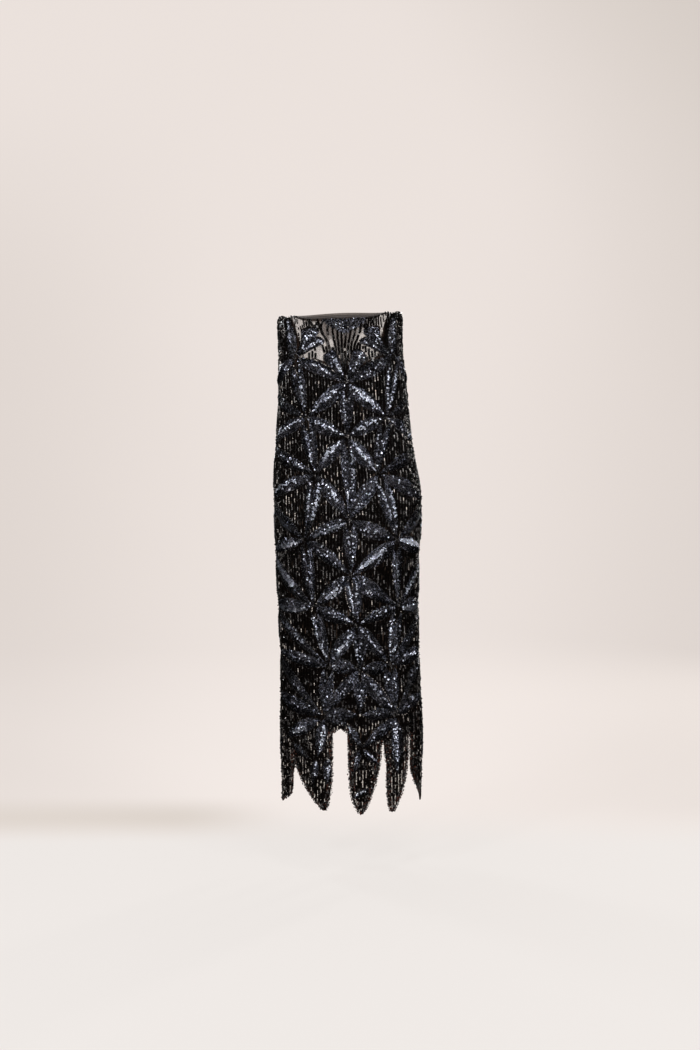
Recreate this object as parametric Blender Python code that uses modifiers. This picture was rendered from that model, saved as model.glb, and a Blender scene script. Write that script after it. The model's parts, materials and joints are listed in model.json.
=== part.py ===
"""Sleeveless straight evening gown in its worn, hollow form: two tulle panels with a hem cut into pointed
tongues, a neck binding and two armhole rolls.

Metres, +Z up, front towards -Y, origin between the shoulders.
"""

import math

import bmesh
import bpy
import numpy as np
from mathutils import Vector

# ---- driving sizes ----------------------------------------------------------------------------------------
CLOTH = 0.002  # wall of the beaded tulle
SEAM_GAP = 0.0003  # clearance between pieces sewn to each other
HALF_GAP = SEAM_GAP / 2

NECK_HALF_WIDTH = 0.101  # inner edge of the binding, at the shoulder
NECK_FRONT_DEPTH = 0.057  # how far the neck edge stands in front of the shoulder line
NECK_BACK_DEPTH = 0.050
NECK_PINCH = 0.35  # 0 gives a lens-shaped boat neck, 1 one that closes to a slit at the shoulders
NECK_CORNER = 0.16  # roundness of the neck's two corners
NECK_STEEP = math.radians(80)  # how steeply the cloth falls from the neck edge at the centre front
BINDING_WIDTH = 0.010
BINDING_THICK = 0.003
BINDING_GAP = 0.0006  # between the binding and the cloth, whose faces meet at a slight angle at the shoulders

SHOULDER_HALF_WIDTH = 0.134
SHOULDER_DROP = 0.009  # fall of the strap from the neck to its outer end
SHOULDER_TILT = 0.040  # rise of the shoulder line towards +X, per metre
TILT_FADES_AT = -0.30

PATCH_FULLNESS = 0.95  # how round the shoulder patch is
YOKE_BOTTOM = -0.090  # height where the shoulder patch meets the ring sections
UNDERARM = -0.175
ARMHOLE_REACH = 0.046  # how far the armhole's edge stands in front of (and behind) the side seam
ROLL_RADIUS = 0.003
ROLL_GAP = 0.0005  # leaves about a seam gap between a roll's facets and the cloth
PATH_BESIDE = 0.04  # share of the panel, and drop under the arm, that give the cloth's direction at the edge
PATH_BELOW = 0.02

TONGUE_ROOT = -0.915  # height above which the panels have no slit
TIP_WIDTH = 0.007
SLIT_ROUNDING = 0.012  # depth in which a slit opens from its apex

COLUMNS = 26  # across each panel
STRAP_COLUMNS = 4
RING_SAMPLES = 720
STEERED_FROM = -0.66  # height from which the columns turn towards the slits
HALF_GIRTH = 0.42  # typical length of a panel from seam to seam
JOINED_WITHIN = 0.00005  # grid points closer than this are one
NEXT_DOWN = 0.01  # drop below the shoulder patch that gives the cloth's direction there
SIDE_STEP = 0.002  # share of the panel to each side that gives its outward direction

# ---- sections, height by height ---------------------------------------------------------------------------
# columns: height, centre_x, half_width, front_depth, back_depth, squareness
SECTIONS = (
    (-0.090, 0.002, 0.1365, 0.083, 0.074, 4.6),
    (-0.111, 0.003, 0.1370, 0.089, 0.079, 4.4),
    (-0.190, 0.007, 0.1420, 0.098, 0.084, 3.4),
    (-0.259, 0.008, 0.1480, 0.098, 0.083, 2.9),
    (-0.322, 0.011, 0.1550, 0.098, 0.088, 2.6),
    (-0.404, 0.017, 0.1635, 0.101, 0.100, 2.4),
    (-0.458, 0.018, 0.1630, 0.103, 0.106, 2.35),
    (-0.526, 0.017, 0.1600, 0.103, 0.107, 2.3),
    (-0.662, 0.019, 0.1560, 0.101, 0.103, 2.3),
    (-0.798, 0.023, 0.1550, 0.100, 0.100, 2.3),
    (-0.934, 0.026, 0.1600, 0.102, 0.101, 2.3),
    (-1.115, 0.025, 0.1610, 0.103, 0.102, 2.3),
)

# Soft folds. around: share of the girth from the centre front, +0.25 and -0.25 at the side seams.
# columns: around, depth (+ is a trough), half_width (share of the girth), starts_at, full_at
FOLDS = (
    (0.176, 0.011, 0.016, -0.62, -0.95),
    (0.128, -0.006, 0.026, -0.55, -0.98),
    (0.045, -0.004, 0.030, -0.45, -1.00),
    (-0.030, 0.006, 0.024, -0.50, -0.95),
    (-0.090, -0.005, 0.030, -0.55, -1.00),
    (-0.185, 0.006, 0.018, -0.70, -1.00),
    (0.330, 0.007, 0.022, -0.55, -1.00),
    (0.405, -0.005, 0.028, -0.45, -1.00),
    (0.475, 0.006, 0.020, -0.60, -0.98),
    (-0.345, -0.005, 0.026, -0.50, -1.00),
    (-0.395, 0.008, 0.020, -0.60, -0.98),
    (-0.455, -0.004, 0.024, -0.52, -1.00),
)

# Slits between the tongues, from one side seam to the other along the panel.
# columns: along (share of the panel), apex (height), gap (width once it is open)
FRONT_SLITS = (
    (0.165, -0.975, 0.004),
    (0.442, -0.923, 0.038),
    (0.668, -0.950, 0.012),
    (0.833, -0.938, 0.020),
)
BACK_SLITS = (
    (0.190, -0.962, 0.010),
    (0.436, -0.938, 0.040),
    (0.652, -0.950, 0.018),
    (0.822, -0.938, 0.030),
)

# Tongues, in the same order. Each hangs to a point, and its edges run straight to it at a fullness of 1 and
# bow out further the higher it is.
# columns: tip_along (share of the panel), tip (height), curl (swing out), first and second edge's fullness
FRONT_TONGUES = (
    (0.000, -1.104, -0.006, 1.0, 7.0),
    (0.358, -1.106, -0.003, 1.5, 5.0),
    (0.552, -1.112, 0.004, 6.0, 2.0),
    (0.710, -1.109, 0.002, 7.0, 2.2),
    (1.000, -1.104, -0.004, 4.0, 1.0),
)
BACK_TONGUES = (
    (0.000, -1.104, -0.006, 1.0, 5.0),
    (0.300, -1.106, 0.004, 2.2, 4.0),
    (0.556, -1.100, -0.003, 5.0, 2.4),
    (0.760, -1.108, 0.004, 3.0, 3.5),
    (1.000, -1.104, -0.004, 4.0, 1.0),
)

# Rows of the panels' meshes: shares of the way down the shoulder patch, and heights below it.
PATCH_ROWS = (0.0, 0.02, 0.10, 0.22, 0.36, 0.52, 0.68, 0.84, 1.0)
ARMHOLE_ROWS = (-0.112, -0.134, -0.152, -0.165, -0.172, UNDERARM)
BODY_ROWS = (-0.21, -0.26, -0.32, -0.38, -0.44, -0.51, -0.59, -0.67, -0.75, -0.835, TONGUE_ROOT)
TONGUE_ROWS = (-0.923, -0.930, -0.938, -0.950, -0.962, -0.975, -0.990)
TONGUE_TIP_ROWS = (0.25, 0.5, 0.7, 0.83, 0.93, 1.0)  # shares of the way from the last row to each tip

SEWN_LINE = 0.0025  # width of the narrow column beside a side seam, which keeps its edge square to the cloth

# colour, roughness, metallic
MATERIALS = {
    "beaded_tulle": ((0.035, 0.027, 0.026, 1.0), 0.45, 0.0),
    "binding_silk": ((0.155, 0.115, 0.100, 1.0), 0.60, 0.0),
    "beaded_roll": ((0.020, 0.019, 0.021, 1.0), 0.30, 0.0),
}


def smooth(value, low, high):
    """0 at low, 1 at high, with flat ends."""
    share = np.clip((value - low) / (high - low), 0.0, 1.0)
    return share * share * (3 - 2 * share)


def tilt(point_x, height):
    return SHOULDER_TILT * point_x * (1 - smooth(-height, 0.0, -TILT_FADES_AT))


# ---- the gown's form --------------------------------------------------------------------------------------
def section(height, side):
    """centre_x, half_width, depth and squareness at a height; side is -1 for the front, +1 for the back."""
    table = np.array(SECTIONS)[::-1]
    heights, values = table[:, 0], table[:, 1:]
    slopes = np.gradient(values, heights, axis=0)
    low = int(np.clip(np.searchsorted(heights, height) - 1, 0, len(heights) - 2))
    span = heights[low + 1] - heights[low]
    t = np.clip((height - heights[low]) / span, 0.0, 1.0)
    centre, half_width, front, back, square = (
        values[low] * (2 * t**3 - 3 * t**2 + 1)
        + values[low + 1] * (3 * t**2 - 2 * t**3)
        + slopes[low] * span * (t**3 - 2 * t**2 + t)
        + slopes[low + 1] * span * (t**3 - t**2)
    )
    return centre, half_width, (front if side < 0 else back), square


def armhole_edge(height):
    """Distance of the armhole's edge in front of the side seam."""
    if height <= UNDERARM:
        return 0.0
    share = (YOKE_BOTTOM - height) / (YOKE_BOTTOM - UNDERARM)
    return ARMHOLE_REACH * math.sqrt(max(0.0, 1 - max(0.0, share) ** 2))


def fold_depth(around, height):
    total = 0.0
    for where, depth, half_width, starts_at, full_at in FOLDS:
        away = (around - where + 0.5) % 1.0 - 0.5
        total += depth * math.exp(-((away / half_width) ** 2)) * smooth(-height, -starts_at, -full_at)
    return total


def half_ring(height, side):
    """Half of the section at a height, from the -X seam to the +X seam: its points and arc shares."""
    centre, half_width, depth, square = section(height, side)
    angle = np.linspace(0.0, math.pi, RING_SAMPLES)
    along = np.cos(angle)
    out = np.sin(angle)
    x = centre - half_width * np.sign(along) * np.abs(along) ** (2 / square)
    y = side * depth * np.abs(out) ** (2 / square)
    points = np.stack([x, y], axis=1)
    steps = np.linalg.norm(np.diff(points, axis=0), axis=1)
    share = np.concatenate([[0.0], np.cumsum(steps)])
    return points, share / share[-1], share[-1]


def ring_row(height, side, shares):
    """Points at arc shares of the panel's own part of the ring, with the folds, as an array of x, y, z."""
    points, arc, _ = half_ring(height, side)
    edge = max(armhole_edge(height), HALF_GAP)
    inside = np.abs(points[:, 1]) >= edge
    first = np.interp(edge, np.abs(points[: RING_SAMPLES // 2, 1]), arc[: RING_SAMPLES // 2])
    last = 1 - first if inside.any() else 1.0
    at = first + (last - first) * np.asarray(shares)
    row = []
    for share in at:
        x, y = (np.interp(share, arc, points[:, axis]) for axis in (0, 1))
        ahead, behind = (
            np.array([np.interp(share + step, arc, points[:, axis]) for axis in (0, 1)])
            for step in (SIDE_STEP, -SIDE_STEP)
        )
        along = ahead - behind
        outward = np.array([along[1], -along[0]]) * (1 if side < 0 else -1)
        outward /= np.linalg.norm(outward)
        around = (share - 0.5) / 2 if side < 0 else 0.5 - (share - 0.5) / 2
        depth = fold_depth(around, height)
        x, y = x - outward[0] * depth, y - outward[1] * depth
        if armhole_edge(height) == 0.0 and min(share, 1 - share) < 1e-3:
            y = side * HALF_GAP
        row.append((x, y, height + tilt(x, height)))
    return np.array(row)


def neck_edge(turn):
    """Inner edge of the neck binding: turn 0 is the -X shoulder, pi the +X shoulder, through the front."""
    sine = math.sin(turn)
    lens = sine * math.sqrt(sine * sine + NECK_CORNER**2) / math.sqrt(1 + NECK_CORNER**2)
    lens *= 1 - NECK_PINCH * (1 - abs(lens))
    depth = NECK_FRONT_DEPTH if lens > 0 else NECK_BACK_DEPTH
    return Vector((-NECK_HALF_WIDTH * math.cos(turn), -depth * lens, 0.0))


def neck_slope(turn):
    """Unit direction from the binding's inner edge down the cloth: level at the shoulders, steep in front."""
    step = 1e-3
    along = neck_edge(turn + step) - neck_edge(turn - step)
    outward = Vector((-along.y, along.x, 0.0)).normalized()
    outward = -outward if outward.dot(neck_edge(turn)) < 0 else outward
    steep = NECK_STEEP * smooth(abs(math.sin(turn)), 0.3, 1.0)
    return outward * math.cos(steep) - Vector((0, 0, 1)) * math.sin(steep)


def neck_point(turn, down):
    """A point of the binding or just below it: down is the distance from its inner edge along the cloth."""
    point = neck_edge(turn) + neck_slope(turn) * down
    point.z += tilt(point.x, 0.0)
    return point


def top_edge(share, side):
    """The panel's upper edge, with the direction in which the cloth leaves it: shoulder, neck, shoulder."""
    column = share * COLUMNS
    forward = Vector((0, side, 0))
    corner = neck_point(0.0 if share < 0.5 else math.pi, BINDING_WIDTH + BINDING_GAP)
    if column <= STRAP_COLUMNS or column >= COLUMNS - STRAP_COLUMNS:
        away = (STRAP_COLUMNS - min(column, COLUMNS - column)) / STRAP_COLUMNS
        sign = -1 if share < 0.5 else 1
        x = corner.x + (sign * SHOULDER_HALF_WIDTH - corner.x) * away
        z = -SHOULDER_DROP * away**1.5 + tilt(x, 0.0)
        return Vector((x, side * HALF_GAP, z)), forward
    turn = (column - STRAP_COLUMNS) / (COLUMNS - 2 * STRAP_COLUMNS) * math.pi
    turn = turn if side < 0 else -turn
    point = neck_point(turn, BINDING_WIDTH + BINDING_GAP)
    point.y = side * max(abs(point.y), HALF_GAP)
    near_corner = 1 - smooth(abs(math.sin(turn)), 0.0, 0.6)
    leave = neck_slope(turn).lerp(forward, near_corner).normalized()
    return point, leave


def patch_row(share_down, side, shares):
    """A row of the shoulder patch, which runs smoothly from the upper edge into the first ring."""
    ring = ring_row(YOKE_BOTTOM, side, shares)
    below = ring_row(YOKE_BOTTOM - NEXT_DOWN, side, shares)
    row = []
    for share, end, next_down in zip(shares, ring, below):
        start, leave = top_edge(share, side)
        end = Vector(end)
        arrive = (Vector(next_down) - end).normalized()
        span = (end - start).length
        t = share_down
        row.append(
            start * (2 * t**3 - 3 * t**2 + 1)
            + leave * (span * PATCH_FULLNESS * (t**3 - 2 * t**2 + t))
            + end * (3 * t**2 - 2 * t**3)
            + arrive * (span * PATCH_FULLNESS * (t**3 - t**2))
        )
    return row


# ---- hem tongues ------------------------------------------------------------------------------------------
def tongue_span(tongue, slits, index, height, length):
    """The two edges of a tongue at a height, as shares of the panel, whose girth there is length."""
    tip_along, tip, _, *fullness = tongue
    edges = []
    for end, side in ((0, 1), (1, -1)):
        slit = index - 1 + end
        if slit in (-1, len(slits)):
            edges.append(float(end))
            continue
        along, apex, gap = slits[slit]
        opened = max(0.0, apex - height)
        root = along + side * gap / 2 / length * math.sqrt(min(1.0, opened / SLIT_ROUNDING))
        still_out = 1 - min(1.0, opened / (apex - tip)) ** fullness[end]
        tip_edge = tip_along - side * TIP_WIDTH / 2 / length
        edges.append(tip_edge + (root - tip_edge) * still_out)
    return edges


def tongue_row(index, row, side, slits, tongues, shares):
    """One row of a tongue: row is a height, or a share of the way from the last common height to the tip."""
    tip = tongues[index][1]
    last = TONGUE_ROWS[-1]
    height = row if row <= 0 else last + (tip - last) * row
    length = half_ring(height, side)[2]
    low, high = tongue_span(tongues[index], slits, index, height, length)
    points = ring_row(height, side, [low + (high - low) * share for share in shares])
    hangs_at = ring_row(height, side, [tongues[index][0]])[0]
    outward = Vector((hangs_at[0] - section(height, side)[0], hangs_at[1], 0)).normalized()
    swing = outward * float(tongues[index][2] * smooth(-height, -TONGUE_ROOT, -tip))
    return [Vector(point) + swing for point in points]


# ---- meshes -----------------------------------------------------------------------------------------------
def grid_through(bm, rows):
    """A grid whose vertices are moved onto rows of points."""
    down, across = len(rows) - 1, len(rows[0]) - 1
    made = bmesh.ops.create_grid(bm, x_segments=across, y_segments=down, size=0.5)["verts"]
    for vertex in made:
        column = round((vertex.co.x + 0.5) * across)
        row = round((0.5 - vertex.co.y) * down)
        vertex.co = rows[row][column]


def panel_shares():
    """Even columns, with a narrow one beside each side seam."""
    narrow = SEWN_LINE / HALF_GIRTH
    shares = np.linspace(0.0, 1.0, COLUMNS + 1)
    shares[1], shares[-2] = narrow, 1 - narrow
    return shares


def tongue_columns(slits):
    """First and last grid column of each tongue: a slit lies on the nearest column of the panel."""
    marks = [0] + [round(along * COLUMNS) for along, _, _ in slits] + [COLUMNS]
    return list(zip(marks, marks[1:]))


def body_shares(slits):
    """Shares of the root row, whose columns pass exactly through the slits."""
    marks = [0.0] + [along for along, _, _ in slits] + [1.0]
    shares = panel_shares()
    for (first, last), low, high in zip(tongue_columns(slits), marks, marks[1:]):
        shares[first : last + 1] = np.linspace(low, high, last - first + 1)
    shares[1], shares[-2] = panel_shares()[1], panel_shares()[-2]
    return shares


def make_panel(name, side, slits, tongues, material):
    bm = bmesh.new()
    plain = panel_shares()
    rooted = body_shares(slits)
    rows = [patch_row(share, side, plain) for share in PATCH_ROWS]
    for height in ARMHOLE_ROWS + BODY_ROWS:
        steered = smooth(-height, -STEERED_FROM, -TONGUE_ROOT)
        rows.append([Vector(point) for point in ring_row(height, side, plain + (rooted - plain) * steered)])
    grid_through(bm, rows)
    for index, (first, last) in enumerate(tongue_columns(slits)):
        low, high = rooted[first], rooted[last]
        inner = (rooted[first : last + 1] - low) / (high - low)
        heights = (TONGUE_ROOT,) + TONGUE_ROWS + TONGUE_TIP_ROWS
        grid_through(bm, [tongue_row(index, row, side, slits, tongues, inner) for row in heights])
    bmesh.ops.remove_doubles(bm, verts=bm.verts, dist=JOINED_WITHIN)
    return finish(name, bm, material, CLOTH)


def finish(name, bm, material, thickness):
    """The open surface as an object with a wall, its faces turned out."""
    mesh = bpy.data.meshes.new(name)
    bmesh.ops.recalc_face_normals(bm, faces=bm.faces)
    lean = sum(face.normal.y * face.calc_area() * np.sign(face.calc_center_median().y) for face in bm.faces)
    if lean < 0:
        bmesh.ops.reverse_faces(bm, faces=bm.faces)
    bm.to_mesh(mesh)
    bm.free()
    item = place(name, mesh, material)
    wall = item.modifiers.new("wall", "SOLIDIFY")
    wall.thickness = thickness
    wall.offset = 0
    return item


def place(name, data, material):
    item = bpy.data.objects.new(name, data)
    data.materials.append(material)
    bpy.data.collections["evening_gown"].objects.link(item)
    return item


def make_binding(material):
    """A closed strip round the neck, above the panels' edges."""
    bm = bmesh.new()
    turns = 2 * (COLUMNS - 2 * STRAP_COLUMNS)  # the panels' own columns, for the same facets on both edges
    rows = []
    for down in (0.0, BINDING_WIDTH):
        rows.append([neck_point(2 * math.pi * k / turns, down) for k in range(turns + 1)])
    grid_through(bm, rows)
    bmesh.ops.remove_doubles(bm, verts=bm.verts, dist=JOINED_WITHIN)
    return finish("neck_binding", bm, material, BINDING_THICK)


def armhole_path(end):
    """Middle line of a roll: the armhole's edge, moved off the cloth by the roll's radius and its gap."""
    shares = (0.0, PATH_BESIDE) if end < 0 else (1.0, 1 - PATH_BESIDE)
    path = []
    for side in (-1, 1):
        rows = [patch_row(share, side, shares) for share in PATCH_ROWS]
        rows += [[Vector(point) for point in ring_row(height, side, shares)] for height in ARMHOLE_ROWS]
        below = [Vector(point) for point in ring_row(UNDERARM - PATH_BELOW, side, shares)]
        line = [row[0] for row in rows]
        inner = [row[1] for row in rows[1:]] + [below[0]]
        for k, point in enumerate(line):
            along = (line[min(k + 1, len(line) - 1)] - line[max(k - 1, 0)]).normalized()
            off = point - inner[k]
            off -= along * off.dot(along)
            line[k] = point + off.normalized() * (ROLL_RADIUS + ROLL_GAP)
        path.append(line)
    front, back = path
    shoulder = (front[0] + back[0]) / 2
    underarm = (front[-1] + back[-1]) / 2
    return [shoulder] + front[1:-1] + [underarm] + back[-2:0:-1]


def make_roll(name, end, material):
    points = armhole_path(end)
    curve = bpy.data.curves.new(name, "CURVE")
    curve.dimensions = "3D"
    curve.bevel_depth = ROLL_RADIUS
    curve.bevel_resolution = 2
    spline = curve.splines.new("POLY")
    spline.points.add(len(points) - 1)
    for target, point in zip(spline.points, points):
        target.co = (*point, 1.0)
    spline.use_cyclic_u = True
    return place(name, curve, material)


def make_material(name):
    colour, roughness, metallic = MATERIALS[name]
    material = bpy.data.materials.new(name)
    material.use_nodes = True
    shader = material.node_tree.nodes["Principled BSDF"]
    shader.inputs["Base Color"].default_value = colour
    shader.inputs["Roughness"].default_value = roughness
    shader.inputs["Metallic"].default_value = metallic
    return material


def main():
    for item in list(bpy.data.objects):
        bpy.data.objects.remove(item)
    bpy.context.scene.collection.children.link(bpy.data.collections.new("evening_gown"))
    materials = {name: make_material(name) for name in MATERIALS}
    tulle = materials["beaded_tulle"]
    make_panel("front", -1, FRONT_SLITS, FRONT_TONGUES, tulle)
    make_panel("back", 1, BACK_SLITS, BACK_TONGUES, tulle)
    make_binding(materials["binding_silk"])
    make_roll("armhole_roll_left", -1, materials["beaded_roll"])
    make_roll("armhole_roll_right", 1, materials["beaded_roll"])


main()
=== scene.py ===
"""Looks of a sleeveless evening gown: see-through tulle with bugle beads in rows, sequinned leaves that meet
in stars, a silk neck binding and beaded armholes. Metres, +Z up, front towards -Y."""

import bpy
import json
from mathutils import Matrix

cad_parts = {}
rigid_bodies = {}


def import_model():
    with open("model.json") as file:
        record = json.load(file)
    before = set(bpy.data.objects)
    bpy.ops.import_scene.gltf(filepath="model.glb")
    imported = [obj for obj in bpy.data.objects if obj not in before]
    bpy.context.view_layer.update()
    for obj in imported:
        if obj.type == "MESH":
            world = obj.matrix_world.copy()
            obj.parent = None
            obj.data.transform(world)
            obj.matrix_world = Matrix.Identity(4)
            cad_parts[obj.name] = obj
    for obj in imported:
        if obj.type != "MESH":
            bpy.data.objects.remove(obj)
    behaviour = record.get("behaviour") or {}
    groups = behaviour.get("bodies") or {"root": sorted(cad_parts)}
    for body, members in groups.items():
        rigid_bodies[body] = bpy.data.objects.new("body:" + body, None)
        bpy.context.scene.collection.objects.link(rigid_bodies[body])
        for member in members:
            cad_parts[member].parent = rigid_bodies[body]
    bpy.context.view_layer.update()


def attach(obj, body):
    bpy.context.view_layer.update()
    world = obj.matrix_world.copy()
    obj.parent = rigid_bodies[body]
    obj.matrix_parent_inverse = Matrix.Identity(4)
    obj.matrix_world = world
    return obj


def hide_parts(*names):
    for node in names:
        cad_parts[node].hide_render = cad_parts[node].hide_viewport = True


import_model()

import json
import math

import bpy
import numpy as np

# ---- the cut and the worn form, as in the solids -----------------------------------------------------------
NECK_HALF_WIDTH = 0.101
NECK_FRONT_DEPTH = 0.057
NECK_BACK_DEPTH = 0.050
NECK_PINCH = 0.35
NECK_CORNER = 0.16
NECK_STEEP = math.radians(80)
NECK_STEEP_FROM, NECK_STEEP_TO = 0.3, 1.0
BINDING_WIDTH = 0.010
BINDING_THICK = 0.003
BINDING_GAP = 0.0006
SHOULDER_HALF_WIDTH = 0.134
SHOULDER_DROP = 0.009
SHOULDER_TILT = 0.040
TILT_FADES_AT = -0.30
HALF_GAP = 0.00015
PATCH_FULLNESS = 0.95
YOKE_BOTTOM = -0.090
UNDERARM = -0.175
ARMHOLE_REACH = 0.046
ROLL_OFFSET = 0.0035
TONGUE_ROOT = -0.915
TIP_WIDTH = 0.007
SLIT_ROUNDING = 0.012
COLUMNS = 26
STRAP_COLUMNS = 4
RING_SAMPLES = 720

# columns: height, centre_x, half_width, front_depth, back_depth, squareness
SECTIONS = (
    (-0.090, 0.002, 0.1365, 0.083, 0.074, 4.6),
    (-0.111, 0.003, 0.1370, 0.089, 0.079, 4.4),
    (-0.190, 0.007, 0.1420, 0.098, 0.084, 3.4),
    (-0.259, 0.008, 0.1480, 0.098, 0.083, 2.9),
    (-0.322, 0.011, 0.1550, 0.098, 0.088, 2.6),
    (-0.404, 0.017, 0.1635, 0.101, 0.100, 2.4),
    (-0.458, 0.018, 0.1630, 0.103, 0.106, 2.35),
    (-0.526, 0.017, 0.1600, 0.103, 0.107, 2.3),
    (-0.662, 0.019, 0.1560, 0.101, 0.103, 2.3),
    (-0.798, 0.023, 0.1550, 0.100, 0.100, 2.3),
    (-0.934, 0.026, 0.1600, 0.102, 0.101, 2.3),
    (-1.115, 0.025, 0.1610, 0.103, 0.102, 2.3),
)
# columns: around, depth, half_width, starts_at, full_at
FOLDS = (
    (0.176, 0.011, 0.016, -0.62, -0.95),
    (0.128, -0.006, 0.026, -0.55, -0.98),
    (0.045, -0.004, 0.030, -0.45, -1.00),
    (-0.030, 0.006, 0.024, -0.50, -0.95),
    (-0.090, -0.005, 0.030, -0.55, -1.00),
    (-0.185, 0.006, 0.018, -0.70, -1.00),
    (0.330, 0.007, 0.022, -0.55, -1.00),
    (0.405, -0.005, 0.028, -0.45, -1.00),
    (0.475, 0.006, 0.020, -0.60, -0.98),
    (-0.345, -0.005, 0.026, -0.50, -1.00),
    (-0.395, 0.008, 0.020, -0.60, -0.98),
    (-0.455, -0.004, 0.024, -0.52, -1.00),
)
# columns: along, apex, gap
FRONT_SLITS = (
    (0.165, -0.975, 0.004),
    (0.442, -0.923, 0.038),
    (0.668, -0.950, 0.012),
    (0.833, -0.938, 0.020),
)
BACK_SLITS = (
    (0.190, -0.962, 0.010),
    (0.436, -0.938, 0.040),
    (0.652, -0.950, 0.018),
    (0.822, -0.938, 0.030),
)
# columns: tip_along, tip, curl, first and second edge's fullness
FRONT_TONGUES = (
    (0.000, -1.104, -0.006, 1.0, 7.0),
    (0.358, -1.106, -0.003, 1.5, 5.0),
    (0.552, -1.112, 0.004, 6.0, 2.0),
    (0.710, -1.109, 0.002, 7.0, 2.2),
    (1.000, -1.104, -0.004, 4.0, 1.0),
)
BACK_TONGUES = (
    (0.000, -1.104, -0.006, 1.0, 5.0),
    (0.300, -1.106, 0.004, 2.2, 4.0),
    (0.556, -1.100, -0.003, 5.0, 2.4),
    (0.760, -1.108, 0.004, 3.0, 3.5),
    (1.000, -1.104, -0.004, 4.0, 1.0),
)

# ---- the cloth's own sizes ---------------------------------------------------------------------------------
PANEL_WIDTH = 0.42  # flat width of a panel, seam to seam
PANEL_LENGTH = 1.125  # a little more than the drop of the longest tongue
NET_COLUMNS = 421  # the form is kept as a fine grid, 1 mm across and 3.75 mm down
NET_STEP = 0.00375
PATCH_STEPS = 24  # grid rows in the shoulder patch
RING_STEP = 0.002  # share of a half ring over which its direction is read
TURN_STEP = 0.001  # angle over which the neck's direction is read
LINE_STEP = 0.002  # distance over which a bead row's direction is read
CUT_MAP = "OFBake"  # name of the map that holds each point's place on the flat cut
TULLE_THICK = 0.0005
TULLE_COLUMNS = 104
ARCH_SHARES = (0.0, 0.02, 0.08, 0.2, 0.42, 0.75)  # where the hem has points in a slit's rounded top
NET_CELL = 0.0013  # from side to side of a hole
NET_TALL = NET_CELL * math.sqrt(3)
NET_THREAD = 0.00005
NECK_SEAM = 0.0062  # where the neck binding is sewn

# Drag lines and soft creases of the worn cloth. Depth is + for a trough and - for a ridge.
# columns: across, top, bottom, depth, half_width, lean
FRONT_CREASES = (
    (-0.178, 0.170, 0.420, 0.0032, 0.0085, 0.018),
    (-0.152, 0.205, 0.560, -0.0020, 0.0110, 0.012),
    (0.172, 0.165, 0.390, 0.0034, 0.0080, -0.020),
    (0.146, 0.190, 0.500, -0.0022, 0.0120, -0.014),
    (0.020, 0.300, 0.620, 0.0014, 0.0150, 0.010),
    (-0.060, 0.420, 0.760, 0.0018, 0.0120, -0.012),
    (0.088, 0.520, 0.880, 0.0022, 0.0100, 0.010),
    (-0.120, 0.640, 0.930, 0.0024, 0.0100, 0.008),
    (-0.010, 0.700, 0.930, -0.0018, 0.0130, 0.006),
)
BACK_CREASES = (
    (-0.174, 0.170, 0.400, 0.0030, 0.0090, 0.020),
    (0.180, 0.168, 0.430, 0.0032, 0.0085, -0.018),
    (0.140, 0.210, 0.540, -0.0020, 0.0120, -0.010),
    (-0.040, 0.330, 0.700, 0.0016, 0.0140, -0.012),
    (0.070, 0.460, 0.820, 0.0020, 0.0110, 0.010),
    (-0.110, 0.560, 0.900, 0.0022, 0.0100, 0.012),
    (0.010, 0.680, 0.930, -0.0018, 0.0130, -0.006),
)

# ---- the beadwork's layout ---------------------------------------------------------------------------------
# Stars lie on a diamond lattice with eight columns round the gown. Leaves join each star to its neighbours.
# columns: middle_drop, middle_shift, side_drop, side_reach, seam_drop
STAR_ROWS = (
    (0.156, 0.009, 0.099, 0.115, 0.165),
    (0.274, 0.008, 0.232, 0.090, 0.290),
    (0.457, 0.002, 0.356, 0.068, 0.416),
    (0.579, 0.008, 0.502, 0.101, 0.530),
    (0.690, 0.019, 0.652, 0.096, 0.650),
    (0.790, 0.022, 0.780, 0.070, 0.751),
    (0.891, 0.019, 0.892, 0.080, 0.850),
)
BACK_PHASE = -0.010  # the back's lattice sits a little higher
STAR_RADIUS = 0.0044  # from a star's large bead to the small ones round it
STAR_BEADS = 8
STAR_LIFT = 0.0022
LEAF_WIDTH = 0.031
LEAF_STARTS, SPEAR_STARTS = 0.004, 0.010  # from a star's middle
SPEAR_WIDTH = 0.0180  # narrow leaves, in pairs between a star and the next one below it
SPEAR_SPREAD = 0.0095
RIDGE = 0.0046  # height of a leaf's padded middle
GROUND_LIFT = 0.0005  # from the net to a leaf's ground
SEQUIN_LIFT = 0.0007  # from the ground to the sequins
GROUND_ALONG, GROUND_OVER = 13, 7  # points of a leaf's ground

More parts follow.
